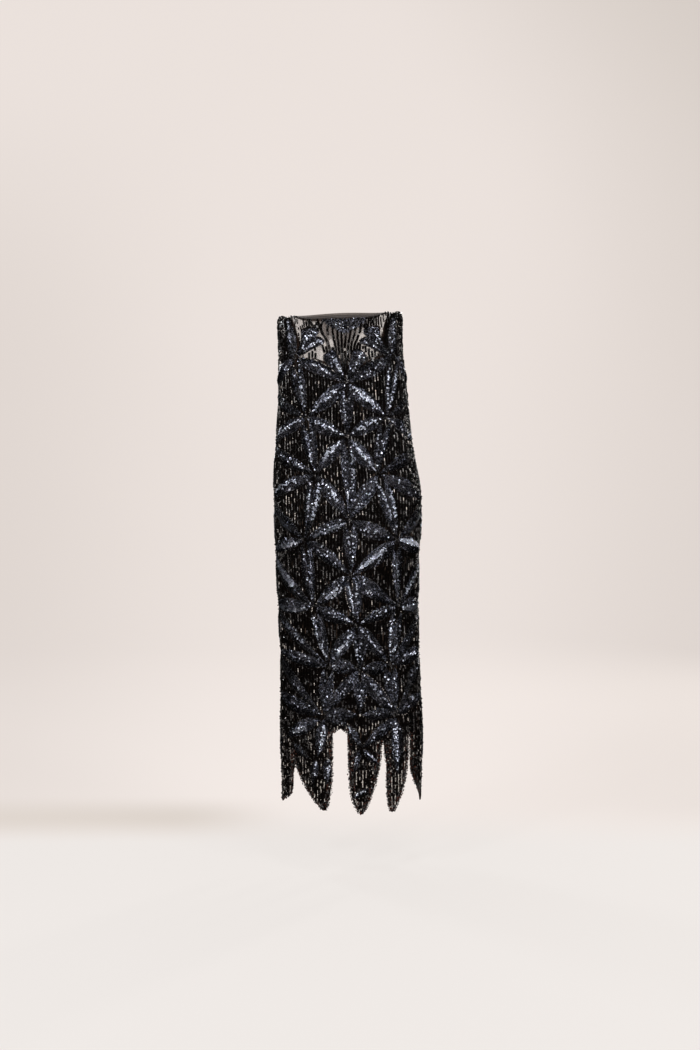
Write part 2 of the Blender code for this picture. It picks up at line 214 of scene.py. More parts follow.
# Leaves outside the lattice: round the yoke, and hanging from the last stars.
# columns: from_across, from_drop, to_across, to_drop, width, blunt, shiny
# Blunt is 0 for a pointed leaf. For the others a smaller number is squarer.
YOKE_LEAVES = (
    (-0.113, 0.096, -0.124, 0.014, 0.028, 0, True),
    (-0.105, 0.091, -0.039, 0.025, 0.023, 0.45, True),
    (-0.103, 0.093, -0.033, 0.052, 0.021, 0.45, False),
    (0.124, 0.096, 0.134, 0.014, 0.025, 0, True),
    (0.118, 0.096, 0.042, 0.030, 0.022, 0.45, True),
    (0.117, 0.099, 0.041, 0.057, 0.018, 0.45, False),
    (0.006, 0.152, -0.031, 0.086, 0.038, 0.75, True),
    (0.012, 0.152, 0.049, 0.085, 0.040, 0.75, False),
)
FRONT_HEM_LEAVES = (
    (-0.070, 0.900, -0.164, 0.950, 0.030, 0, True),
    (-0.060, 0.902, -0.074, 0.985, 0.024, 0, False),
    (-0.060, 0.899, -0.004, 0.914, 0.013, 0, False),
    (-0.006, 0.914, 0.021, 0.963, 0.019, 0, True),
    (0.098, 0.899, 0.023, 0.964, 0.024, 0, True),
    (0.024, 0.967, 0.062, 1.006, 0.013, 0, True),
    (0.018, 0.968, 0.004, 1.020, 0.014, 0, False),
    (0.000, 1.078, 0.044, 1.052, 0.014, 0, True),
    (0.100, 0.902, 0.100, 1.022, 0.025, 0, True),
    (-0.134, 0.962, -0.094, 0.990, 0.018, 0, False),
    (-0.078, 0.992, -0.086, 1.046, 0.020, 0, True),
    (-0.052, 0.985, -0.054, 1.050, 0.018, 0, False),
    (-0.186, 0.935, -0.192, 1.010, 0.020, 0, False),
    (0.186, 0.930, 0.194, 1.010, 0.018, 0, False),
)
BACK_HEM_LEAVES = (
    (-0.062, 0.889, -0.120, 0.945, 0.026, 0, True),
    (0.022, 0.889, 0.026, 0.980, 0.022, 0, False),
    (0.098, 0.889, 0.104, 0.975, 0.022, 0, True),
    (-0.186, 0.925, -0.190, 1.000, 0.018, 0, False),
    (0.186, 0.925, 0.192, 1.000, 0.018, 0, True),
)
# The sequinned half round that hangs from the neck.
FAN_ACROSS, FAN_WIDE, FAN_DEEP = 0.0085, 0.036, 0.038
FAN_POINTED = 1.3  # 2 would be a half round, 1 a triangle
FAN_TOP = 0.003
FAN_DOME = 0.0024
FAN_ROWS_FROM = 0.036  # rows that hang this near its middle start from its rim and spread like rays
RAY_SPREAD = 0.55
RAY_BUNCHING = 1.6  # more than 1 draws the rays towards the middle one
RAYS_END = 0.086  # drop at which they hang straight
SHOULDER_ROWS = 0.135
TOP_ROWS = (0.046, 0.124)  # how far to the side the other rows start at the neck

# Bugle rows.
BUGLE_PITCH = 0.0070  # from row to row
BUGLE_RADIUS = 0.0016
PALE_BUGLE_RADIUS = 0.0008
BUGLE_INSIDE = 0.0045  # the rows stop this far inside a panel's edges
YOKE_BUGLES = 1.75  # how much thicker the rows are over the clear net
YOKE_THICK_LEFT, YOKE_THICK_RIGHT = 0.054, 0.042  # and how far to each side of the half round
YOKE_THICK_BELOW = 0.080
YOKE_ENDS = 0.125  # drop at which the net is close again
GLEAM_ROWS, GLEAM_YOKE = 0.30, 0.08  # share of gleaming bugles
ROWS_PART = 0.56  # drop at which a panel's rows become a second piece
BUGLE_LENGTHS = (0.0056, 0.0082)
BUGLE_GAPS = (0.0002, 0.0012)
# Places in the yoke where the rows stand apart and the net has worn away.
# columns: across, drop, half_width, half_length
WORN_GAPS = (
    (-0.064, 0.014, 0.0040, 0.012),
    (-0.075, 0.034, 0.0040, 0.014),
    (-0.085, 0.054, 0.0040, 0.014),
    (-0.039, 0.008, 0.0035, 0.008),
    (-0.0355, 0.056, 0.0052, 0.022),
    (-0.0185, 0.060, 0.0046, 0.018),
    (-0.048, 0.092, 0.0075, 0.022),
    (0.041, 0.047, 0.0060, 0.017),
    (0.089, 0.036, 0.0050, 0.026),
)
PALE_ROWS, PALE_TONGUES = 0.03, 0.19  # share of pale bugles
TONGUE_TOP = 0.94
# Places below the yoke where more of them are mixed in, with their share there. Their pale tone paints light
# showing through the net and glints.
# columns: across, drop, half_width, half_length, share
PALE_PATCHES = [
    (-0.016, 0.917, 0.026, 0.012, 0.60),
    (0.056, 0.921, 0.020, 0.015, 0.70),
    (0.010, 0.925, 0.030, 0.022, 0.25),
    (0.0125, 1.020, 0.0036, 0.034, 0.90),
    (0.0260, 1.038, 0.0036, 0.028, 0.85),
    (0.062, 0.992, 0.012, 0.022, 0.35),
    (-0.104, 0.985, 0.014, 0.014, 0.45),
    (-0.064, 1.070, 0.020, 0.036, 0.55),
    (0.094, 1.062, 0.024, 0.044, 0.80),
    (0.078, 0.172, 0.012, 0.026, 0.40),
    *np.random.default_rng(8).uniform(
        (-0.20, 0.17, 0.010, 0.014, 0.20), (0.20, 0.90, 0.022, 0.032, 0.40), (18, 5)
    ),
]

# Sequins, and the cut beads round the leaves.
SEQUIN_RADIUS = 0.0022
SEQUIN_ALONG, SEQUIN_ACROSS = 0.0032, 0.0034
# Bright foil sequins are painted highlights: a lit streak along one half of a leaf, its share tuned down the
# gown, and stray glints. The far half takes dull foil as painted shade.
GLINTS = (0.12, 0.46, 0.68)  # share of bright sequins in a leaf's streak, one of three
GLINT_DROPS = (0.40, 0.50, 0.70, 0.76, 0.89, 0.91)  # and how it changes down the gown
GLINT_LEVELS = (0.90, 1.45, 1.45, 0.4, 0.4, 1.2)
STRAY_GLINTS = 0.035  # share of bright sequins outside the streak
SAME_FOIL = 0.78  # share of the others that are of their half's foil
EDGE_BEAD = 0.0012
EDGE_PITCH = 0.0034

# Firm rows at the edges, rolls, seams and loose beads.
EDGE_ROW_PITCH = 0.0031
EDGE_ROW_BEAD = (0.0017, 0.0017, 0.0020)
ARMHOLE_ROWS = np.arange(0.0028, 0.0220, 0.0030)  # distance of the firm rows inside the edge
TONGUE_ROWS = (-0.0010, 0.0026, 0.0060, 0.0094)
RUST_FROM = 0.9  # drop below which some of their beads are rust
RUST_SHARE = 0.6
SEED_RADIUS = 0.0012
SEED_PITCH = 0.0020
ROLL_PITCH = 0.0021
ROLL_SIDES = 10
ROLL_BUGLE = (0.0012, 0.0012, 0.0056)
ROLL_CORE = 0.0027
KNOB_CORE = 0.0092  # the roll swells to a knob on the shoulder
KNOB_REACH = 0.0110
KNOB_INWARD = 0.0088
SEAM_PITCH = 0.0042
SEAM_BEAD = (0.0021, 0.0021, 0.0024)
# Loose beads of a whole panel, then more of them on its tongues.
# columns: tries, top, share of pale ones
SCATTERED = ((4200, 0.13, 0.12), (2600, 0.92, 0.16))
LOOSE_SIZES = (0.0007, 0.0014)
NECK_STITCH_PITCH = 0.0036
STITCH = (0.0003, 0.0004, NECK_STITCH_PITCH * 0.68)

# The finishes of a beaded piece, in the order in which its beads name them.
GLASS = ("black", "pale_glints", "gleam")
EDGE_GLASS = (*GLASS, "rust")
FOILS = ("shiny", "dull", "bright")

# The paper's glow is painted light: floor and wall, dimmer sides, a painted shade band on the floor and a
# painted darker corner.
PAPER_FLOOR = (0.705, 0.670, 0.645)
PAPER_WALL = (0.755, 0.690, 0.655)
PAPER_SIDES = (0.665, 0.605, 0.570)
PAPER_SHADE_BAND = (0.60, 0.54, 0.49)
PAPER_SHADED_CORNER = (0.60, 0.545, 0.505)

WORLD_Z = np.array((0.0, 0.0, 1.0))
rng = np.random.default_rng(1926)


def smooth(value, low, high):
    """0 at low, 1 at high, with flat ends."""
    share = np.clip((value - low) / (high - low), 0.0, 1.0)
    return share * share * (3 - 2 * share)


def unit(vectors):
    return vectors / np.maximum(np.linalg.norm(vectors, axis=-1, keepdims=True), 1e-12)


def square_to(vectors, normals):
    """Unit vectors with their part along the normals taken out."""
    return unit(vectors - normals * (vectors * normals).sum(-1, keepdims=True))


def run_along(line):
    """Distances along a line from its first point to each of its points."""
    return np.concatenate([[0.0], np.cumsum(np.linalg.norm(np.diff(line, axis=0), axis=1))])


def read_along(line, run, at):
    """Values of a line at distances along it."""
    return np.stack([np.interp(at, run, values) for values in line.T], axis=1)


def oval(across, drop, place):
    """0 in the middle of an oval place, 1 on its edge and more outside it."""
    x, y, half_width, half_length = place
    return ((across - x) / half_width) ** 2 + ((drop - y) / half_length) ** 2


def tilt(x, height):
    """How much higher a shoulder stands, fading down the bodice."""
    return SHOULDER_TILT * x * (1 - smooth(-height, 0.0, -TILT_FADES_AT))


def hermite(t, start, leave, end, arrive):
    """A curve from start to end that leaves and arrives at given slopes."""
    return (
        start * (2 * t**3 - 3 * t**2 + 1)
        + leave * (t**3 - 2 * t**2 + t)
        + end * (3 * t**2 - 2 * t**3)
        + arrive * (t**3 - t**2)
    )


# ---- the gown's form ---------------------------------------------------------------------------------------
def section(height, side):
    """centre_x, half_width, depth and squareness at a height; side is -1 for the front, +1 for the back."""
    table = np.array(SECTIONS)[::-1]
    heights, values = table[:, 0], table[:, 1:]
    slopes = np.gradient(values, heights, axis=0)
    low = int(np.clip(np.searchsorted(heights, height) - 1, 0, len(heights) - 2))
    span = heights[low + 1] - heights[low]
    t = np.clip((height - heights[low]) / span, 0.0, 1.0)
    row = hermite(t, values[low], slopes[low] * span, values[low + 1], slopes[low + 1] * span)
    centre, half_width, front, back, square = row
    return centre, half_width, (front if side < 0 else back), square


def armhole_edge(height):
    """Distance of the armhole's edge in front of the side seam."""
    if height <= UNDERARM:
        return 0.0
    share = (YOKE_BOTTOM - height) / (YOKE_BOTTOM - UNDERARM)
    return ARMHOLE_REACH * math.sqrt(max(0.0, 1 - max(0.0, share) ** 2))


def fold_depth(around, height):
    """How far the vertical folds sink in, round the gown."""
    total = np.zeros_like(around)
    for where, depth, half_width, starts_at, full_at in FOLDS:
        away = (around - where + 0.5) % 1.0 - 0.5
        total += depth * np.exp(-((away / half_width) ** 2)) * smooth(-height, -starts_at, -full_at)
    return total


def ring(height, side):
    """Half of the section at a height, from the -X seam to the +X seam: points, arc shares and length."""
    centre, half_width, depth, square = section(height, side)
    angle = np.linspace(0.0, math.pi, RING_SAMPLES)
    along, out = np.cos(angle), np.sin(angle)
    x = centre - half_width * np.sign(along) * np.abs(along) ** (2 / square)
    y = side * depth * np.abs(out) ** (2 / square)
    points = np.stack([x, y], axis=1)
    run = run_along(points)
    return points, run / run[-1], run[-1]


def ring_points(height, side, shares):
    """Points of the folded cloth at arc shares of a half ring."""
    points, arc, _ = ring(height, side)
    xy, ahead, behind = (read_along(points, arc, shares + step) for step in (0.0, RING_STEP, -RING_STEP))
    along = unit(ahead - behind)
    outward = np.stack([along[:, 1], -along[:, 0]], axis=1) * (1 if side < 0 else -1)
    around = (shares - 0.5) / 2 if side < 0 else 0.5 - (shares - 0.5) / 2
    xy = xy - outward * fold_depth(around, height)[:, None]
    return np.column_stack([xy, height + tilt(xy[:, 0], height)])


def ring_inset(height, side):
    """Arc share between the side seam and the armhole's edge."""
    points, arc, _ = ring(height, side)
    half = RING_SAMPLES // 2
    return float(np.interp(armhole_edge(height), np.abs(points[:half, 1]), arc[:half]))


def neck_edge(turn):
    """Inner edge of the neck binding: turn 0 is the -X shoulder, pi the +X shoulder, through the front."""
    sine = np.sin(turn)
    lens = sine * np.sqrt(sine * sine + NECK_CORNER**2) / math.sqrt(1 + NECK_CORNER**2)
    lens = lens * (1 - NECK_PINCH * (1 - np.abs(lens)))
    depth = np.where(lens > 0, NECK_FRONT_DEPTH, NECK_BACK_DEPTH)
    return np.stack([-NECK_HALF_WIDTH * np.cos(turn), -depth * lens, np.zeros_like(sine)], axis=-1)


def neck_slope(turn):
    """Unit direction from the binding's inner edge down the cloth."""
    along = neck_edge(turn + TURN_STEP) - neck_edge(turn - TURN_STEP)
    outward = unit(np.stack([-along[..., 1], along[..., 0], np.zeros_like(turn)], axis=-1))
    outward = np.where((outward * neck_edge(turn)).sum(-1, keepdims=True) < 0, -outward, outward)
    steep = NECK_STEEP * smooth(np.abs(np.sin(turn)), NECK_STEEP_FROM, NECK_STEEP_TO)[..., None]
    return outward * np.cos(steep) - WORLD_Z * np.sin(steep)


def neck_point(turn, down):
    """A point of the binding, at a distance down from its inner edge."""
    point = neck_edge(turn) + neck_slope(turn) * down
    point[..., 2] += tilt(point[..., 0], 0.0)
    return point


def top_edge(shares, side):
    """The panel's upper edge, with the direction in which the cloth leaves it: shoulder, neck, shoulder."""
    column = shares * COLUMNS
    inward = np.minimum(column, COLUMNS - column)
    sign = np.where(shares < 0.5, -1.0, 1.0)
    forward = np.array((0.0, side, 0.0))
    away = np.clip((STRAP_COLUMNS - inward) / STRAP_COLUMNS, 0.0, 1.0)
    corner = NECK_HALF_WIDTH + BINDING_WIDTH + BINDING_GAP
    x = sign * (corner + (SHOULDER_HALF_WIDTH - corner) * away)
    z = -SHOULDER_DROP * away**1.5 + tilt(x, 0.0)
    strap = np.stack([x, np.full_like(x, side * HALF_GAP), z], axis=1)
    turn = np.clip((column - STRAP_COLUMNS) / (COLUMNS - 2 * STRAP_COLUMNS), 0.0, 1.0) * math.pi * -side
    neck = neck_point(turn, BINDING_WIDTH + BINDING_GAP)
    neck[:, 1] = side * np.maximum(np.abs(neck[:, 1]), HALF_GAP)
    near_corner = 1 - smooth(np.abs(np.sin(turn)), 0.0, 0.6)[:, None]
    leave = unit(neck_slope(turn) * (1 - near_corner) + forward * near_corner)
    on_strap = (inward <= STRAP_COLUMNS)[:, None]
    return np.where(on_strap, strap, neck), np.where(on_strap, forward, leave)


def armhole_drops(top, upper, lower):
    """Drops down an armhole's edge: even over the yoke, then closer together towards the underarm."""
    curved = -YOKE_BOTTOM + (YOKE_BOTTOM - UNDERARM) * np.sin(np.linspace(0, math.pi / 2, lower))
    return np.concatenate([np.linspace(top, -YOKE_BOTTOM, upper)[:-1], curved])


def crease_depth(creases, across, drop):
    """How far the creases sink in at flat places."""
    total = np.zeros(np.broadcast(across, drop).shape)
    for where, top, bottom, depth, half_width, lean in creases:
        share = (drop - top) / (bottom - top)
        middle = where + lean * np.clip(share, 0.0, 1.0)
        fade = smooth(share, 0.0, 0.3) * (1 - smooth(share, 0.6, 1.0))
        total += depth * np.exp(-(((across - middle) / half_width) ** 2)) * fade
    return total


class Cloth:
    """A panel as worn, read by its flat cut: metres across from its middle, and metres of drop."""

    def __init__(self, side, slits, tongues, creases):
        self.side, self.slits, self.tongues = side, slits, tongues
        self.marks = [along for along, _, _ in slits]
        shares = np.linspace(0.0, 1.0, NET_COLUMNS)
        rows = round(PANEL_LENGTH / NET_STEP) + 1
        heights = -NET_STEP * np.arange(rows)
        self.inset = np.array([ring_inset(min(height, YOKE_BOTTOM), side) for height in heights])
        self.length = np.array([ring(min(height, YOKE_BOTTOM), side)[2] for height in heights])
        grid = np.empty((rows, NET_COLUMNS, 3))
        self._lay_patch(grid, shares)
        for row in range(PATCH_STEPS, rows):
            grid[row] = ring_points(heights[row], side, shares)
            self._swing_tongues(grid[row], heights[row], shares)
        across = (shares - 0.5) * PANEL_WIDTH
        depth = crease_depth(creases, across[None, :], -heights[:, None])
        grid -= self._normals(grid) * depth[..., None]
        self.grid, self.normal = grid, self._normals(grid)

    def _lay_patch(self, grid, shares):
        """The shoulder patch, which runs smoothly from the upper edge into the first ring."""
        side = self.side
        inset, below_inset = ring_inset(YOKE_BOTTOM, side), ring_inset(YOKE_BOTTOM - 0.01, side)
        along = np.clip((shares - inset) / (1 - 2 * inset), 0.0, 1.0)
        start, leave = top_edge(along, side)
        end = ring_points(YOKE_BOTTOM, side, inset + (1 - 2 * inset) * along)
        below = ring_points(YOKE_BOTTOM - 0.01, side, below_inset + (1 - 2 * below_inset) * along)
        span = np.linalg.norm(end - start, axis=1, keepdims=True) * PATCH_FULLNESS
        for row in range(PATCH_STEPS):
            grid[row] = hermite(row / PATCH_STEPS, start, leave * span, end, unit(below - end) * span)

    def _swing_tongues(self, row, height, shares):
        """Curls each tongue in or out towards its tip."""
        if height >= TONGUE_ROOT:
            return
        for index, (tip_along, tip, curl, _, _) in enumerate(self.tongues):
            mine = np.searchsorted(self.marks, shares) == index
            hangs_at = ring_points(height, self.side, np.array([tip_along]))[0]
            outward = unit(np.array((hangs_at[0] - section(height, self.side)[0], hangs_at[1], 0.0)))
            row[mine] += outward * curl * smooth(-height, -TONGUE_ROOT, -tip)

    def _normals(self, grid):
        down, across = np.gradient(grid, axis=(0, 1))
        return unit(self.side * np.cross(across, down))

    def edge(self, drop):
        """Distance across from the panel's middle to the seam or the armhole's edge."""
        inset = np.interp(drop / NET_STEP, np.arange(len(self.inset)), self.inset)
        return (0.5 - inset) * PANEL_WIDTH

    def at(self, across, drop):
        """Point, outward normal, unit direction across and unit direction down, for flat places."""
        across, drop = np.broadcast_arrays(np.asarray(across, float), np.asarray(drop, float))
        limit = self.edge(drop)
        column = (np.clip(across, -limit, limit) / PANEL_WIDTH + 0.5) * (NET_COLUMNS - 1)
        row = np.clip(drop / NET_STEP, 0, len(self.grid) - 1.001)
        point, normal = (self._read(table, row, column) for table in (self.grid, self.normal))
        ahead = self._read(self.grid, row, np.minimum(column + 1, NET_COLUMNS - 1))
        behind = self._read(self.grid, row, np.maximum(column - 1, 0))
        normal = unit(normal)
        side_on = square_to(ahead - behind, normal)
        return point, normal, side_on, self.side * np.cross(normal, side_on)

    def on(self, places):
        """The same for flat places given as pairs."""
        return self.at(places[..., 0], places[..., 1])

    @staticmethod
    def _read(table, row, column):
        r, c = np.floor(row).astype(int), np.minimum(np.floor(column).astype(int), table.shape[1] - 2)
        fr, fc = (row - r)[..., None], (column - c)[..., None]
        upper = table[r, c] * (1 - fc) + table[r, c + 1] * fc
        lower = table[r + 1, c] * (1 - fc) + table[r + 1, c + 1] * fc
        return upper * (1 - fr) + lower * fr

    def slit_beside(self, index, end):
        """The slit before a tongue, where end is 0, or after it, where end is 1. None at a side seam."""
        slit = index - 1 + end
        return self.slits[slit] if 0 <= slit < len(self.slits) else None

    def tongue_span(self, index, height):
        """The two edges of a tongue at a height, as shares of the panel."""
        tip_along, tip, _, *fullness = self.tongues[index]
        length = float(np.interp(-height / NET_STEP, np.arange(len(self.length)), self.length))
        edges = []
        for end, side in ((0, 1), (1, -1)):
            slit = self.slit_beside(index, end)
            if slit is None:
                edges.append(float(end))
                continue
            along, apex, gap = slit
            opened = max(0.0, apex - height)
            root = along + side * gap / 2 / length * math.sqrt(min(1.0, opened / SLIT_ROUNDING))
            still_out = 1 - min(1.0, opened / (apex - tip)) ** fullness[end]
            tip_edge = tip_along - side * TIP_WIDTH / 2 / length
            edges.append(tip_edge + (root - tip_edge) * still_out)
        return edges

    def cut_size(self):
        """Greatest width, length and area of the flat cut, tongues and all."""
        wide = self.length * (1 - 2 * self.inset)
        for row, height in enumerate(-NET_STEP * np.arange(len(wide))):
            if height < TONGUE_ROOT:
                hanging = [k for k, (_, tip, *_) in enumerate(self.tongues) if height > tip]
                spans = [self.tongue_span(k, height) for k in hanging]
                wide[row] = self.length[row] * sum(high - low for low, high in spans)
        length = -min(tip for _, tip, *_ in self.tongues)
        return round(float(wide.max()), 3), round(length, 3), round(float(wide.sum()) * NET_STEP, 4)

    def holds(self, across, drop, margin):
        """True where a flat place lies on the panel, at least margin inside its edges."""
        inside = (np.abs(across) <= self.edge(drop) - margin) & (drop >= margin)
        for k in np.nonzero(inside & (drop > -TONGUE_ROOT))[0]:
            share, height = across[k] / PANEL_WIDTH + 0.5, -drop[k]
            index = int(np.searchsorted(self.marks, share))
            if height < self.tongues[index][1] + margin:
                inside[k] = False
                continue
            low, high = self.tongue_span(index, height)
            room = margin / PANEL_WIDTH
            inside[k] = (low + room * (index > 0)) <= share <= (high - room * (index < len(self.slits)))
        return inside


# ---- meshes ------------------------------------------------------------------------------------------------
def added(name, data):
    """A new object in the scene."""
    made = bpy.data.objects.new(name, data)
    bpy.context.scene.collection.objects.link(made)
    return made


def new_piece(name, points, faces, finishes, flat, which=None, smooth_shaded=True):
    """A joined mesh. faces: arrays of point numbers. flat: places on the map. which: each face's finish."""
    mesh = bpy.data.meshes.new(name)
    sides = np.concatenate([np.full(len(group), group.shape[1]) for group in faces])
    corners = np.concatenate([group.ravel() for group in faces]).astype(np.int32)
    mesh.vertices.add(len(points))
    mesh.vertices.foreach_set("co", np.ascontiguousarray(points, np.float32).ravel())
    mesh.loops.add(len(corners))
    mesh.loops.foreach_set("vertex_index", corners)
    mesh.polygons.add(len(sides))
    starts = np.concatenate([[0], np.cumsum(sides)[:-1]])
    mesh.polygons.foreach_set("loop_start", starts.astype(np.int32))
    which = np.zeros(len(sides), np.int32) if which is None else np.asarray(which, np.int32)
    mesh.polygons.foreach_set("material_index", which)
    mesh.polygons.foreach_set("use_smooth", np.full(len(sides), smooth_shaded))
    places = np.clip(flat[corners], 0.0, 1.0)
    strip = np.repeat(which, sides)
    places[:, 0] = (places[:, 0] + strip) / len(finishes)
    mesh.uv_layers.new(name=CUT_MAP).data.foreach_set("uv", places.astype(np.float32).ravel())
    mesh.update(calc_edges=True)
    mesh.validate()
    for finish in finishes:
        mesh.materials.append(finish)
    return added(name, mesh)


def on_cut(places):
    """Flat places as shares of the cut, for the piece's map."""
    return np.stack([places[..., 0] / PANEL_WIDTH + 0.5, 1 - places[..., 1] / PANEL_LENGTH], axis=-1)


def map_across(share):
    """A share of the way round the neck or an armhole, as a distance across that fits the map."""
    return share * 0.4 - 0.2


def grid_faces(rows, columns, first=0, closed=False, looped=False):
    """Quads of points stored row by row. Closed joins each row's ends, looped the last row to the first."""
    index = np.arange(rows * columns).reshape(rows, columns) + first
    if closed:
        index = np.hstack([index, index[:, :1]])
    if looped:
        index = np.vstack([index, index[:1]])
    return quads_of(index)


def quads_of(index):
    """Quads between neighbouring entries of a table of point numbers."""
    return np.stack([index[:-1, :-1], index[:-1, 1:], index[1:, 1:], index[1:, :-1]], axis=-1).reshape(-1, 4)


class Bead:
    """A small shape that is set many times: points in its own axes, and faces."""

    def __init__(self, points, *faces):
        self.points = np.array(points, float)
        self.faces = [np.array(group) for group in faces]


def polygon(sides, radius=1.0, z=0.0):
    """The corners of a polygon with even sides."""
    return [(radius * math.cos(a), radius * math.sin(a), z) for a in np.arange(sides) * math.tau / sides]


def bugle_shape():
    """A tube with six sides, 1 in radius and 1 long. Its cut ends have points of their own."""
    points = [corner for z in (-0.5, 0.5, -0.5, 0.5) for corner in polygon(6, z=z)]
    ends = [(17, 16, 15, 14, 13, 12), (18, 19, 20, 21, 22, 23)]
    return Bead(points, grid_faces(2, 6, closed=True), ends)


def facet_shape():
    """A cut bead: a ring of five corners between two points."""
    faces = [(k, (k + 1) % 5, 5) for k in range(5)] + [((k + 1) % 5, k, 6) for k in range(5)]
    return Bead(polygon(5) + [(0, 0, 1), (0, 0, -1)], faces)


def round_shape():
    """A pressed round bead with six sides."""
    points = [corner for radius, z in ((0.6, -0.7), (1, 0), (0.6, 0.7)) for corner in polygon(6, radius, z)]
    ends = [(5, 4, 3, 2, 1, 0), (12, 13, 14, 15, 16, 17)]
    return Bead(points, grid_faces(3, 6, closed=True), ends)


def sequin_shape():
    """A cupped round of foil: a middle point and six corners."""
    return Bead([(0, 0, -0.22)] + polygon(6), [(0, 1 + k, 1 + (k + 1) % 6) for k in range(6)])


class Setting:
    """Beads of one shape, gathered before they become one mesh."""

    def __init__(self, shape):
        self.shape = shape
        self.points, self.flat, self.which = [], [], []

    def add(self, where, axes, sizes, places, which=0):
        """where: points. axes: three arrays of unit vectors. sizes: three a bead. places: on the cut."""
        if not len(where):
            return
        local = self.shape.points[None] * np.asarray(sizes)[:, None, :]
        self.points.append(where[:, None] + np.einsum("ntk,nkj->ntj", local, np.stack(axes, axis=1)))
        across, drop = places[:, :1], places[:, 1:]
        flat = np.stack([across + local[..., 0] + 0.3 * local[..., 1], drop - local[..., 2]], axis=-1)
        self.flat.append(on_cut(flat))
        self.which.append(np.broadcast_to(which, len(where)))

    def piece(self, name, finishes, smooth_shaded=False):
        """All the beads as one mesh."""
        points, flat, which = (np.concatenate(part) for part in (self.points, self.flat, self.which))
        count, size = points.shape[:2]
        start = np.arange(count)[:, None, None] * size
        faces = [(start + group[None]).reshape(-1, group.shape[1]) for group in self.shape.faces]
        per_face = np.concatenate([np.repeat(which, len(group)) for group in self.shape.faces])
        points, flat = points.reshape(-1, 3), flat.reshape(-1, 2)
        return new_piece(name, points, faces, finishes, flat, per_face, smooth_shaded)


def turned(first, second, angle):
    """first and second turned towards each other by an angle, for arrays of unit vectors."""
    cos, sin = np.cos(angle)[:, None], np.sin(angle)[:, None]
    return first * cos + second * sin, second * cos - first * sin


def uneven(size, count, low, high):
    """Sizes of a number of beads, from one size or three, each a little different."""
    return np.broadcast_to(size, (count, 3)) * rng.uniform(low, high, (count, 1))


def glass_kinds(pale, gleam):
    """Which glass each bead is of: 1 pale, 2 gleaming black for a share of the rest, 0 deep black."""
    return np.where(pale, 1, np.where(rng.random(len(pale)) < gleam, 2, 0))


# ---- finishes ----------------------------------------------------------------------------------------------
def both_ways(operation):
    """The methods of an operator and of its reflected form, which add a Math node."""
    return (
        lambda self, other: self.maths(operation, self, other),
        lambda self, other: self.maths(operation, other, self),
    )


class Wire:
    """One output socket. Arithmetic on it adds Math nodes to its finish."""

    def __init__(self, finish, socket):
        self.finish, self.socket = finish, socket

    def maths(self, operation, *values):
        """One Math node."""
        return self.finish.node("ShaderNodeMath", {"operation": operation}, dict(enumerate(values)))

    __add__, __radd__ = both_ways("ADD")
    __sub__, __rsub__ = both_ways("SUBTRACT")
    __mul__, __rmul__ = both_ways("MULTIPLY")
    __truediv__, __rtruediv__ = both_ways("DIVIDE")
    __mod__, __rmod__ = both_ways("FLOORED_MODULO")
    __lt__, __gt__ = both_ways("LESS_THAN")

    def __abs__(self):
        return self.maths("ABSOLUTE", self)

    def lowest(self, other):
        return self.maths("MINIMUM", self, other)

    def highest(self, other):
        return self.maths("MAXIMUM", self, other)

    def wave(self):
        return self.maths("SINE", self)

    def ramp(self, start, end, low=0.0, high=1.0):
        """Smoothly from low at start to high at end."""
        sockets = {"Value": self, "From Min": start, "From Max": end, "To Min": low, "To Max": high}
        return self.finish.node("ShaderNodeMapRange", {"interpolation_type": "SMOOTHSTEP"}, sockets)


class Finish:
    """A material with one Principled shader. Plain values are set on its sockets by name."""

    def __init__(self, name, **plain):
        self.material = bpy.data.materials.new(name)
        self.material.use_nodes = True
        self.tree = self.material.node_tree
        self.shader = self.tree.nodes["Principled BSDF"]
        for socket, value in plain.items():
            self.shader.inputs[socket.replace("_", " ")].default_value = value

    def node(self, kind, settings=None, sockets=None, output=0):
        """Any node, from its type, its settings and the values or wires of its sockets."""
        made = self.tree.nodes.new(kind)
        for setting, value in (settings or {}).items():
            setattr(made, setting, value)
        for socket, value in (sockets or {}).items():
            self._feed(made.inputs[socket], value)
        return Wire(self, made.outputs[output])

    def _feed(self, socket, value):
        if isinstance(value, Wire):
            self.tree.links.new(value.socket, socket)
        else:
            socket.default_value = value

    def feed(self, **links):
        """Links wires to the shader's sockets."""
        for socket, wire in links.items():
            self._feed(self.shader.inputs[socket.replace("_", " ")], wire)
        return self.material

    def mixed(self, share, first, second):
        """A colour between two, by share."""
        first, second = (value if isinstance(value, Wire) else (*value, 1.0) for value in (first, second))
        sockets = {0: share, 6: first, 7: second}
        return self.node("ShaderNodeMix", {"data_type": "RGBA"}, sockets, output=2)

    def noise(self, scale, detail=2.0, where=None):
        where = self.place() if where is None else where
        return self.node("ShaderNodeTexNoise", {}, {"Vector": where, "Scale": scale, "Detail": detail})

    def place(self):
        return self.node("ShaderNodeTexCoord", output="Object")

    def parts(self, vector):
        return [self.node("ShaderNodeSeparateXYZ", {}, {0: vector}, output=k) for k in range(3)]

    def joined(self, *values):
        return self.node("ShaderNodeCombineXYZ", {}, dict(enumerate(values)))

    def mapped(self):
        """The place on the cut's map, as two wires from 0 to 1."""
        across, up, _ = self.parts(self.node("ShaderNodeUVMap", {"uv_map": CUT_MAP}))
        return across, up

    def cut(self):
        """The place on the flat cut, as two wires in metres."""
        across, up = self.mapped()
        return across * PANEL_WIDTH, up * PANEL_LENGTH

    def bump(self, height, distance):
        return self.node("ShaderNodeBump", {}, {"Height": height, "Distance": distance})


